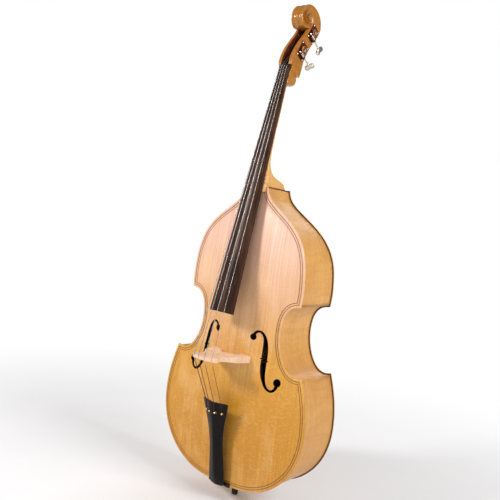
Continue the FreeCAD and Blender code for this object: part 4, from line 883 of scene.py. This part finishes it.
class Surface:
    """A node material round one Principled shader. Values may be numbers or sockets."""

    def __init__(self, name):
        self.material = bpy.data.materials.new(name)
        self.material.use_nodes = True
        self.tree = self.material.node_tree
        self.tree.nodes.clear()
        self.output = self.tree.nodes.new("ShaderNodeOutputMaterial")
        self.shader = self.tree.nodes.new("ShaderNodeBsdfPrincipled")
        self.tree.links.new(self.shader.outputs[0], self.output.inputs[0])
        self.place = self.tree.nodes.new("ShaderNodeTexCoord").outputs["Object"]

    def feed(self, node, inputs):
        for key, value in inputs.items():
            if isinstance(value, bpy.types.NodeSocket):
                self.tree.links.new(value, node.inputs[key])
            else:
                node.inputs[key].default_value = value

    def node(self, kind, inputs, **settings):
        node = self.tree.nodes.new(kind)
        for key, value in settings.items():
            setattr(node, key, value)
        self.feed(node, inputs)
        return node

    def xyz(self):
        return self.node("ShaderNodeSeparateXYZ", {"Vector": self.place}).outputs

    def noise_at(self, vector, detail, rough, dist=0.0):
        return self.node("ShaderNodeTexNoise", {"Vector": vector, "Scale": 1.0, "Detail": detail,
                                                "Roughness": rough, "Distortion": dist}).outputs[0]

    def noise(self, stretch, detail, rough, dist=0.0, rot=(0, 0, 0)):
        """Noise with its own frequency (per metre) along x, y and z."""
        mapping = self.node("ShaderNodeMapping", {"Vector": self.place, "Scale": stretch,
                                                  "Rotation": rot})
        return self.noise_at(mapping.outputs[0], detail, rough, dist)

    def math(self, operation, first, second=0.0):
        return self.node("ShaderNodeMath", {0: first, 1: second}, operation=operation).outputs[0]

    def plus(self, first, second):
        return self.math("ADD", first, second)

    def times(self, first, second):
        return self.math("MULTIPLY", first, second)

    def centred(self, mask, amount):
        """A 0-1 mask turned into a swing of the given size about zero."""
        return self.times(self.math("SUBTRACT", mask, 0.5), amount)

    def waves(self, distance, pitch):
        return self.math("SINE", self.times(distance, 2 * math.pi / pitch))

    def combine(self, x, y, z):
        return self.node("ShaderNodeCombineXYZ", {0: x, 1: y, 2: z}).outputs[0]

    def remap(self, value, span, to):
        return self.node("ShaderNodeMapRange", {"Value": value, "From Min": span[0],
                                                "From Max": span[1], "To Min": to[0],
                                                "To Max": to[1]}).outputs[0]

    def vary(self, mask, low, high):
        """The usual spread of a noise mapped to low-high."""
        return self.remap(mask, span=(0.3, 0.7), to=(low, high))

    def ramp(self, mask, stops):
        node = self.node("ShaderNodeValToRGB", {"Fac": mask})
        elements = node.color_ramp.elements
        while len(elements) > 1:
            elements.remove(elements[-1])
        elements[0].position = stops[0][0]
        elements[0].color = linear_color(stops[0][1])
        for position, color in stops[1:]:
            elements.new(position).color = linear_color(color)
        return node.outputs[0]

    def mix(self, share, first, second, mode="MIX"):
        inputs = {0: share, 6: linear_color(first), 7: linear_color(second)}
        return self.node("ShaderNodeMix", inputs, data_type="RGBA", blend_type=mode).outputs[2]

    def tint(self, color, mask, span, amount, to):
        """Up to amount of another colour as the mask runs over the span."""
        return self.mix(self.remap(mask, span, (0.0, amount)), color, to)

    def multiply(self, color, mask, amount, stops):
        """Darken by a ramp over the mask."""
        return self.mix(amount, color, self.ramp(mask, stops), "MULTIPLY")

    def pointiness(self):
        return self.node("ShaderNodeNewGeometry", {}).outputs["Pointiness"]

    def wear(self, color, amount, to, span=(0.52, 0.60)):
        """Another colour on convex edges."""
        edges = self.remap(self.pointiness(), span, (0.0, 1.0))
        return self.mix(self.times(edges, amount), color, to)

    def finish(self, **values):
        """Shader inputs by name, with underscores for spaces."""
        self.feed(self.shader, {key.replace("_", " "): value for key, value in values.items()})

    def bump(self, height, strength, dist):
        """Set the bump (distance in metres) and return the material."""
        bump = self.node("ShaderNodeBump", {"Height": height, "Strength": strength,
                                            "Distance": dist})
        self.finish(Normal=bump.outputs[0])
        return self.material


# ============================================================ materials
def spruce():
    mat = Surface("spruce_front")
    x, _, z = mat.xyz()
    from_joint = mat.math("ABSOLUTE", x)

    def streaks(across, per_metre, along, detail, rough, layer=0.0):
        vector = mat.combine(mat.times(across, per_metre), layer, mat.times(z, along))
        return mat.noise_at(vector, detail, rough)

    # slow wander of the year rings along the length, mirrored about the centre joint
    wander = streaks(from_joint, per_metre=9.0, along=2.2, detail=2.0, rough=0.5)
    across = mat.plus(from_joint, mat.centred(wander, amount=0.018))
    fine = streaks(across, per_metre=520.0, along=2.5, detail=2.0, rough=0.6)
    mid = streaks(across, per_metre=110.0, along=1.1, detail=3.0, rough=0.6, layer=3.0)
    wide = streaks(across, per_metre=16.0, along=1.4, detail=3.0, rough=0.5, layer=7.0)
    blotch = mat.noise((9.0, 9.0, 6.5), detail=4.0, rough=0.6, dist=0.4)
    silk = mat.noise((60.0, 60.0, 260.0), detail=2.0, rough=0.5, dist=0.2)
    # painted highlight: the front runs from golden below to pale pink above; the golden lower tone
    # is the spruce's own colour, the pale pink upper stops are painted highlight on the lit upper
    # front
    height = mat.remap(mat.plus(z, mat.centred(blotch, amount=0.35)), span=(0.0, 1.2), to=(0, 1))
    color = mat.ramp(height, [(0.0, (197, 135, 14)), (0.30, (204, 143, 20)),
                              (0.44, (215, 158, 54)), (0.60, (229, 181, 136)),
                              (0.82, (238, 198, 184)), (1.0, (232, 190, 170))])
    color = mat.tint(color, wide, span=(0.38, 0.72), amount=0.26, to=(208, 146, 56))
    color = mat.tint(color, blotch, span=(0.48, 0.75), amount=0.35, to=(242, 206, 142))
    color = mat.multiply(color, fine, amount=0.34, stops=[
        (0.42, WHITE), (0.56, (205, 190, 170)), (0.68, (168, 138, 104))])
    color = mat.multiply(color, mid, amount=0.3, stops=[(0.38, WHITE), (0.66, (226, 205, 178))])
    color = mat.tint(color, silk, span=(0.5, 0.75), amount=0.16, to=(250, 222, 172))
    joint = mat.remap(from_joint, span=(0.0003, 0.0009), to=(0.45, 0.0))
    color = mat.mix(joint, color, (150, 98, 48))
    color = mat.wear(color, amount=0.35, to=(205, 146, 78))
    mat.finish(Base_Color=color, Roughness=mat.vary(mid, low=0.40, high=0.52),
               Coat_Weight=0.13, Coat_Roughness=0.22)
    return mat.bump(mat.plus(fine, mat.times(blotch, 0.6)), strength=0.12, dist=0.0002)


def maple(name, bent, light, dark, deep, flame, coat, rough):
    """Flamed maple: upright grain (back), or grain along the bent ribs."""
    mat = Surface(name)
    x, y, z = mat.xyz()
    across, third = (y, x) if bent else (mat.math("ABSOLUTE", x), y)
    wander = mat.noise((7.0, 7.0, 5.0), detail=2.0, rough=0.5)
    pores = mat.noise((60.0, 520.0, 60.0) if bent else (420.0, 420.0, 26.0),
                      detail=2.0, rough=0.65)
    veins = mat.noise((5.0, 95.0, 5.0) if bent else (46.0, 46.0, 3.2),
                      detail=4.0, rough=0.6, dist=0.5)
    # flame: soft ripples across the grain
    phase = mat.plus(mat.times(z, 62.0), mat.times(wander, 5.0))
    ripple = mat.noise_at(mat.combine(mat.times(across, 7.0), mat.times(third, 7.0), phase),
                          detail=2.0, rough=0.5, dist=0.2)
    blotch = mat.noise((8.0, 8.0, 5.0), detail=3.0, rough=0.55)
    color = mat.ramp(veins, [(0.30, dark), (0.50, light), (0.74, dark)])
    color = mat.tint(color, blotch, span=(0.42, 0.72), amount=0.45, to=deep)
    crests = mat.remap(ripple, span=(0.4, 0.62), to=(0.0, 1.0))
    color = mat.mix(mat.times(crests, flame), color, deep)
    color = mat.multiply(color, pores, amount=0.4, stops=[(0.4, WHITE), (0.66, (214, 192, 164))])
    if not bent:
        joint = mat.remap(across, span=(0.0003, 0.0010), to=(0.5, 0.0))
        color = mat.mix(joint, color, (120, 76, 34))
    color = mat.wear(color, amount=0.3, to=deep)
    if bent:
        # painted shade: the ribs turn darker and more orange towards the bottom, standing in for
        # the shade on the lower ribs
        low = mat.remap(z, span=(0.62, 0.12), to=(0.0, 0.75))
        color = mat.mix(low, color, mat.mix(veins, (206, 152, 80), (176, 118, 50)))
    mat.finish(Base_Color=color, Roughness=mat.vary(ripple, low=rough - 0.05, high=rough + 0.07),
               Coat_Weight=coat, Coat_Roughness=0.12)
    return mat.bump(mat.plus(pores, mat.times(veins, 0.6)), strength=0.10, dist=0.0002)


def amber(name, pale_below=False):
    """Glossy honey-amber maple of the head; on the neck it pales downwards."""
    mat = Surface(name)
    lean = (0.35, 0, 0)
    veins = mat.noise((60.0, 42.0, 9.0), detail=4.0, rough=0.6, dist=0.8, rot=lean)
    ripple = mat.noise((22.0, 30.0, 120.0), detail=2.0, rough=0.5, dist=0.3)
    pores = mat.noise((500.0, 420.0, 60.0), detail=2.0, rough=0.6, rot=lean)
    blotch = mat.noise((14.0, 14.0, 12.0), detail=3.0, rough=0.6)
    color = mat.ramp(veins, [(0.30, (130, 76, 17)), (0.52, (168, 110, 30)), (0.74, (138, 82, 19))])
    color = mat.tint(color, ripple, span=(0.42, 0.62), amount=0.3, to=(198, 142, 52))
    color = mat.tint(color, blotch, span=(0.45, 0.75), amount=0.4, to=(142, 74, 20))
    color = mat.multiply(color, pores, amount=0.35,
                         stops=[(0.42, WHITE), (0.66, (206, 176, 140))])
    point = mat.pointiness()
    # painted shade: darker brown in creases and hollows, where the pointiness is low
    color = mat.tint(color, point, span=(0.492, 0.43), amount=0.8, to=(92, 40, 10))
    # painted highlight: paler gold on convex edges
    color = mat.tint(color, point, span=(0.53, 0.62), amount=0.4, to=(228, 176, 92))
    if pale_below:
        z = mat.xyz()[2]
        tan = mat.mix(mat.vary(veins, low=0.0, high=1.0), (226, 180, 118), (208, 156, 90))
        color = mat.tint(color, z, span=(1.62, 1.30), amount=1.0, to=tan)
    mat.finish(Base_Color=color, Roughness=mat.vary(blotch, low=0.24, high=0.34),
               Specular_IOR_Level=0.35, Coat_Weight=0.42, Coat_Roughness=0.08)
    return mat.bump(mat.plus(pores, mat.times(veins, 0.7)), strength=0.10, dist=0.0002)


def plain_wood(name, light, dark, rough, coat=0.0, along=2, fine=420.0, streak=5.0):
    """along is the axis of the grain."""
    mat = Surface(name)
    pore_stretch = [fine] * 3
    pore_stretch[along] = fine * 0.05
    vein_stretch = [70.0] * 3
    vein_stretch[along] = streak
    pores = mat.noise(pore_stretch, detail=2.0, rough=0.6)
    veins = mat.noise(vein_stretch, detail=4.0, rough=0.6, dist=0.6)
    blotch = mat.noise((24.0, 24.0, 24.0), detail=3.0, rough=0.55)
    color = mat.ramp(veins, [(0.32, dark), (0.55, light), (0.78, dark)])
    color = mat.tint(color, blotch, span=(0.42, 0.75), amount=0.4, to=dark)
    color = mat.multiply(color, pores, amount=0.4, stops=[(0.42, WHITE), (0.68, (205, 188, 170))])
    color = mat.wear(color, amount=0.25, to=light)
    mat.finish(Base_Color=color, Roughness=mat.vary(blotch, low=rough - 0.06, high=rough + 0.06),
               Coat_Weight=coat)
    return mat.bump(mat.plus(pores, mat.times(veins, 0.5)), strength=0.15, dist=0.0002)


def ebony(name, lift=0.0, tones=((8, 7, 7), (13, 10, 9), (24, 17, 14)), specular=0.13):
    """lift raises the roughness; tones run from dark to light."""
    mat = Surface(name)
    pores = mat.noise((700.0, 700.0, 34.0), detail=2.0, rough=0.6)
    veins = mat.noise((52.0, 52.0, 3.0), detail=4.0, rough=0.6, dist=0.5)
    smear = mat.noise((20.0, 20.0, 3.0), detail=4.0, rough=0.6, dist=0.3)
    color = mat.ramp(veins, list(zip((0.35, 0.60, 0.82), tones)))
    color = mat.tint(color, smear, span=(0.5, 0.8), amount=0.3, to=tones[2])
    color = mat.wear(color, amount=0.35, to=(70, 54, 46), span=(0.51, 0.58))
    mat.finish(Base_Color=color, Roughness=mat.vary(smear, low=0.27 + lift, high=0.42 + lift),
               Specular_IOR_Level=specular, Coat_Weight=0.03, Coat_Roughness=0.18)
    return mat.bump(mat.plus(pores, mat.times(veins, 0.4)), strength=0.12, dist=0.00015)


def metal(name, light, dark, rough, brushed, tarnish):
    """brushed is the stretch of the brush marks, tarnish the share of dark patches."""
    mat = Surface(name)
    brush = mat.noise(brushed, detail=3.0, rough=0.6)
    patches = mat.noise((90.0, 90.0, 90.0), detail=4.0, rough=0.62, dist=0.3)
    color = mat.tint(light, patches, span=(0.42, 0.72), amount=tarnish, to=dark)
    color = mat.tint(color, brush, span=(0.4, 0.7), amount=0.18, to=dark)
    bright = tuple(min(255, int(value * 1.12) + 10) for value in light)
    color = mat.wear(color, amount=0.5, to=bright, span=(0.51, 0.58))
    mat.finish(Base_Color=color, Metallic=1.0,
               Roughness=mat.vary(patches, low=rough - 0.06, high=rough + 0.12))
    return mat.bump(mat.plus(brush, mat.times(patches, 0.5)), strength=0.10, dist=0.0001)


def wound_string():
    """Flat ribbon winding: fine rings along the length."""
    mat = Surface("steel_string")
    _, y, z = mat.xyz()
    rings = mat.waves(mat.plus(z, mat.times(y, -0.2)), pitch=0.0011)
    patches = mat.noise((120.0, 120.0, 30.0), detail=3.0, rough=0.6)
    color = mat.tint((190, 190, 192), patches, span=(0.4, 0.7), amount=0.5, to=(120, 116, 112))
    color = mat.tint(color, rings, span=(-1.0, 1.0), amount=0.25, to=(86, 84, 84))
    # silk-wrapped from the bridge to the tailpiece
    low = mat.remap(z, span=(0.535, 0.531), to=(0.0, 1.0))
    wrap = mat.tint((84, 34, 26), rings, span=(-1.0, 1.0), amount=0.6, to=(52, 20, 16))
    color = mat.mix(low, color, wrap)
    mat.finish(Base_Color=color, Metallic=mat.math("SUBTRACT", 1.0, low),
               Roughness=mat.plus(mat.vary(patches, low=0.24, high=0.4), mat.times(low, 0.25)))
    return mat.bump(rings, strength=0.35, dist=0.0001)


def silk_wrap(name, light, dark):
    mat = Surface(name)
    x, _, z = mat.xyz()
    twist = mat.waves(mat.plus(x, z), pitch=0.0009)
    fuzz = mat.noise((300.0, 300.0, 300.0), detail=3.0, rough=0.6)
    color = mat.tint(light, twist, span=(-1.0, 1.0), amount=0.5, to=dark)
    color = mat.tint(color, fuzz, span=(0.45, 0.7), amount=0.3, to=dark)
    mat.finish(Base_Color=color, Roughness=0.6)
    return mat.bump(mat.plus(twist, fuzz), strength=0.3, dist=0.0001)


def rubber():
    """Black rubber, dusty near the floor."""
    mat = Surface("rubber_tip")
    fine = mat.noise((420.0, 420.0, 420.0), detail=4.0, rough=0.6)
    coarse = mat.noise((70.0, 70.0, 70.0), detail=3.0, rough=0.6)
    dust = mat.remap(mat.xyz()[2], span=(0.0, 0.012), to=(0.5, 0.0))
    color = mat.tint((26, 25, 25), coarse, span=(0.4, 0.7), amount=0.5, to=(44, 42, 41))
    color = mat.mix(mat.times(dust, fine), color, (92, 88, 84))
    mat.finish(Base_Color=color, Roughness=mat.vary(fine, low=0.62, high=0.82))
    return mat.bump(fine, strength=0.25, dist=0.0003)


SPRUCE = spruce()
BACK_MAPLE = maple("maple_back", bent=False, light=(222, 174, 104), dark=(210, 158, 86),
                   deep=(184, 128, 60), flame=0.42, coat=0.25, rough=0.42)
RIB_MAPLE = maple("maple_ribs", bent=True, light=(220, 169, 96), dark=(207, 150, 78),
                  deep=(184, 124, 54), flame=0.2, coat=0.1, rough=0.5)
AMBER = amber("amber_maple")
NECK = amber("neck_maple", pale_below=True)
INSIDE = plain_wood("inside_wood", (104, 72, 40), (78, 50, 26), rough=0.85)
# painted shade: near-black wood for the f-hole walls, standing in for the shade inside the
# openings
F_WALL_SHADE = plain_wood("f_hole_wall_shade", (34, 16, 8), (16, 8, 5), rough=0.6, coat=0.1)
INLAY = plain_wood("inlay_dark", (138, 90, 42), (108, 66, 28), rough=0.5, coat=0.1)
INNER = plain_wood("inner_spruce", (206, 164, 110), (182, 136, 84), rough=0.75)
BLOCK = plain_wood("block_wood", (190, 146, 94), (164, 118, 70), rough=0.75)
CHAMBER_WOOD = plain_wood("chamber_wood", (120, 52, 24), (82, 30, 12), rough=0.5, coat=0.2)
EBONY = ebony("ebony_black")
# painted sheen: the fingerboard's lighter brown tones stand in for the sheen reflected along it;
# the dark brown is the ebony's own colour
BOARD = ebony("ebony_board", lift=0.04, tones=((36, 18, 12), (64, 38, 26), (112, 80, 56)),
              specular=0.15)
BRIDGE = plain_wood("bridge_maple", (238, 208, 180), (226, 186, 154), rough=0.55, along=0,
                    fine=520.0, streak=9.0)
STEEL = metal("rod_steel", (200, 200, 204), (140, 140, 144), rough=0.22,
              brushed=(600, 600, 40), tarnish=0.35)
NICKEL = metal("nickel_key", (214, 206, 190), (150, 138, 114), rough=0.22,
               brushed=(300, 300, 300), tarnish=0.45)
PLATE = metal("bronzed_plate", (112, 54, 40), (64, 26, 20), rough=0.34,
              brushed=(260, 260, 260), tarnish=0.6)
GEAR = metal("gear_brass", (150, 96, 60), (84, 46, 30), rough=0.32,
             brushed=(300, 300, 300), tarnish=0.6)
ROLLER = metal("roller_brass", (206, 170, 104), (134, 98, 50), rough=0.26,
               brushed=(40, 500, 500), tarnish=0.5)
SCREW = metal("screw_steel", (206, 206, 208), (140, 138, 134), rough=0.24,
              brushed=(400, 400, 400), tarnish=0.4)
BALL = metal("ball_brass", (240, 206, 140), (186, 136, 74), rough=0.22,
             brushed=(400, 400, 400), tarnish=0.4)
STRING = wound_string()
WRAP = silk_wrap("string_silk", (120, 40, 36), (76, 22, 20))
WIRE = metal("tail_wire_steel", (186, 186, 188), (120, 118, 116), rough=0.3,
             brushed=(200, 200, 900), tarnish=0.4)
TIP = rubber()
SOCKET = ebony("ebony_socket", lift=0.05)


# ============================================================ painting the new pieces
def face_data(obj):
    """Face centres in the body frame, and face normals."""
    centres = np.array([face.center for face in obj.data.polygons]) / MM
    centres -= (0, SHIFT_Y, SHIFT_Z)
    return centres, np.array([face.normal for face in obj.data.polygons])


def paint(obj, materials, choice):
    """choice picks the material of each face."""
    obj.data.materials.clear()
    for material in materials:
        obj.data.materials.append(material)
    obj.data.polygons.foreach_set("material_index", choice.astype(int))


centres, normals = face_data(front)
# painted shade: the f-hole walls get the near-black wood, for the shade inside the openings
f_wall = (f_distance(centres[:, [0, 2]]) < 0.25) & (np.abs(normals[:, 1]) < 0.8)
paint(front, [SPRUCE, F_WALL_SHADE], f_wall)
centres, normals = face_data(back)
paint(back, [BACK_MAPLE, INSIDE], normals[:, 1] < -0.5)
paint(tail, [EBONY], np.zeros(len(tail.data.polygons)))
centres, normals = face_data(head)
profile = centres[:, 1:]
in_chamber = (line_distance(CHAMBER, profile) < 1.2) | inside(CHAMBER, profile)
paint(head, [AMBER, CHAMBER_WOOD], (np.abs(centres[:, 0]) < CHAMBER_HALF + 0.06) & in_chamber)

# ============================================================ painting the CAD pieces
NODE_MATERIALS = {
    "top_purfling": INLAY, "back_purfling": INLAY, "linings_top": INNER, "linings_back": INNER,
    "corner_blocks": BLOCK, "neck_block": BLOCK, "end_block": BLOCK, "bass_bar": INNER,
    "sound_post": INNER, "back_braces": INNER, "neck": NECK, "fingerboard": BOARD, "nut": EBONY,
    "bridge": BRIDGE, "saddle": EBONY, "tail_wire": WIRE, "string_ball_ends": BALL,
    "machine_screws": SCREW, "endpin_socket": SOCKET, "endpin_thumbscrew": NICKEL,
    "endpin_rod": STEEL, "endpin_tip": TIP, "top_plate": SPRUCE, "back_plate": BACK_MAPLE,
    "tailpiece": EBONY, "pegbox_scroll": AMBER}
# for the names not above, the first matching prefix counts
PREFIX_MATERIALS = [
    ("rib_", RIB_MAPLE), ("string_winding_", WRAP), ("string_", STRING),
    ("machine_plate_", PLATE), ("tuning_key_", NICKEL), ("gear_screw_", SCREW),
    ("gear_", GEAR), ("roller_", ROLLER), ("", STEEL)]
BEVELS = {"bridge": 0.9, "nut": 0.5, "saddle": 0.8, "fingerboard": 0.6}     # widths
MACHINE_PLATE_BEVEL = 0.35


def node_material(name):
    if name in NODE_MATERIALS:
        return NODE_MATERIALS[name]
    return next(material for prefix, material in PREFIX_MATERIALS if name.startswith(prefix))


for name, obj in NODES.items():
    obj.data.materials.clear()
    obj.data.materials.append(node_material(name))
    weld = obj.modifiers.new("weld", "WELD")
    weld.merge_threshold = 5e-6
    if name in BEVELS or name.startswith("machine_plate_"):
        planar = obj.modifiers.new("planar", "DECIMATE")
        planar.decimate_type = "DISSOLVE"
        planar.angle_limit = math.radians(1.0)
        bevel = obj.modifiers.new("bevel", "BEVEL")
        bevel.width = BEVELS.get(name, MACHINE_PLATE_BEVEL) * MM
        bevel.segments = 2
        bevel.limit_method = "ANGLE"
        bevel.angle_limit = math.radians(48)
    shade(obj.data, 36)

# ============================================================ floor
FLOOR_RINGS = [0.6, 1.5, 3.0, 6.0, 9.0]
FLOOR_SIDES = 48


def floor_mesh():
    verts = [(0.0, 0.0, 0.0)]
    for radius in FLOOR_RINGS:
        for j in range(FLOOR_SIDES):
            angle = 2 * math.pi * j / FLOOR_SIDES
            verts.append((radius * math.cos(angle), radius * math.sin(angle), 0.0))
    faces = [(0, 1 + j, 1 + (j + 1) % FLOOR_SIDES) for j in range(FLOOR_SIDES)]
    for i in range(len(FLOOR_RINGS) - 1):
        inner = 1 + i * FLOOR_SIDES
        outer = inner + FLOOR_SIDES
        for j in range(FLOOR_SIDES):
            k = (j + 1) % FLOOR_SIDES
            faces.append((inner + j, outer + j, outer + k, inner + k))
    mesh = bpy.data.meshes.new("floor")
    mesh.from_pydata(verts, [], faces)
    return mesh


def floor_material():
    """Pale floor that fades into glowing white away from the centre."""
    mat = Surface("pale_floor")
    cloud = mat.noise((3.0, 3.0, 3.0), detail=4.0, rough=0.5)
    mat.finish(Base_Color=mat.mix(cloud, (234, 240, 250), (242, 246, 253)),
               Roughness=mat.vary(cloud, low=0.75, high=0.9))
    grit = mat.noise((160.0, 160.0, 160.0), detail=3.0, rough=0.6)
    mat.bump(grit, strength=0.05, dist=0.0004)
    radius = mat.node("ShaderNodeVectorMath", {0: mat.place}, operation="LENGTH").outputs["Value"]
    glow = mat.node("ShaderNodeEmission", {"Color": (1, 1, 1, 1), "Strength": 1.0})
    fade = mat.node("ShaderNodeMapRange", {"Value": radius, "From Min": 0.7, "From Max": 2.6},
                    interpolation_type="SMOOTHSTEP")
    blend = mat.node("ShaderNodeMixShader", {0: fade.outputs[0], 1: mat.shader.outputs[0],
                                             2: glow.outputs[0]})
    mat.tree.links.new(blend.outputs[0], mat.output.inputs[0])
    return mat.material


floor = add_object("floor", floor_mesh())
floor.data.materials.append(floor_material())

# ============================================================ lights
# name, place, aim (metres), side of the square (metres), power (watts), colour
LIGHTS = [
    ("key", (-1.75, -3.5, 2.7), (0.0, 0.0, 0.95), 0.75, 128.0, (1.0, 0.965, 0.92)),
    ("fill_right", (3.2, -0.25, 2.5), (0.0, 0.0, 1.05), 1.5, 84.0, (1.0, 0.975, 0.94)),
    ("front_soft", (1.2, -3.6, 1.6), (0.0, 0.0, 0.9), 2.2, 10.0, (1.0, 0.95, 0.90)),
    ("back_soft", (-0.8, 3.0, 2.4), (0.0, 0.0, 1.0), 2.0, 40.0, (1.0, 0.98, 0.95))]
for name, place, aim, size, power, color in LIGHTS:
    light = bpy.data.lights.new(name, "AREA")
    light.shape = "RECTANGLE"
    light.size = size
    light.size_y = size
    light.energy = power
    light.color = color
    lamp = add_object(name, light)
    lamp.location = place
    lamp.rotation_euler = (Vector(aim) - Vector(place)).to_track_quat("-Z", "Y").to_euler()

# ============================================================ world
world = bpy.data.worlds.new("studio")
world.use_nodes = True
tree = world.node_tree
tree.nodes.clear()
world_output = tree.nodes.new("ShaderNodeOutputWorld")
# warm dim light on the scene, plain white where the camera sees the sky
backgrounds = []
for color, strength in (((1.0, 0.90, 0.80, 1), 0.36), ((1, 1, 1, 1), 1.0)):
    background = tree.nodes.new("ShaderNodeBackground")
    background.inputs[0].default_value = color
    background.inputs[1].default_value = strength
    backgrounds.append(background)
light_path = tree.nodes.new("ShaderNodeLightPath")
blend = tree.nodes.new("ShaderNodeMixShader")
tree.links.new(light_path.outputs["Is Camera Ray"], blend.inputs[0])
for i, background in enumerate(backgrounds):
    tree.links.new(background.outputs[0], blend.inputs[1 + i])
tree.links.new(blend.outputs[0], world_output.inputs[0])
bpy.context.scene.world = world
bpy.context.scene.view_settings.view_transform = "Standard"

# ============================================================ camera
CAMERA_PLACE = (1410.94, -1796.38, 952.30)      # body frame
CAMERA_LOOK = (-0.61628, 0.78678, -0.03437)
CAMERA_ROLL = math.radians(7.2395)
lens = bpy.data.cameras.new("camera")
lens.sensor_width = 36.0
lens.sensor_fit = "HORIZONTAL"
lens.lens = 44.822088
lens.clip_start = 0.05
lens.clip_end = 60.0
camera = add_object("camera", lens)
look = Vector(CAMERA_LOOK).normalized()
level = look.cross(Vector((0, 0, 1))).normalized()
upright = level.cross(look)
right = math.cos(CAMERA_ROLL) * level + math.sin(CAMERA_ROLL) * upright
up = -math.sin(CAMERA_ROLL) * level + math.cos(CAMERA_ROLL) * upright
pose = Matrix((right, up, -look)).transposed().to_4x4()
pose.translation = Vector(to_world(CAMERA_PLACE))
camera.matrix_world = pose
bpy.context.scene.camera = camera
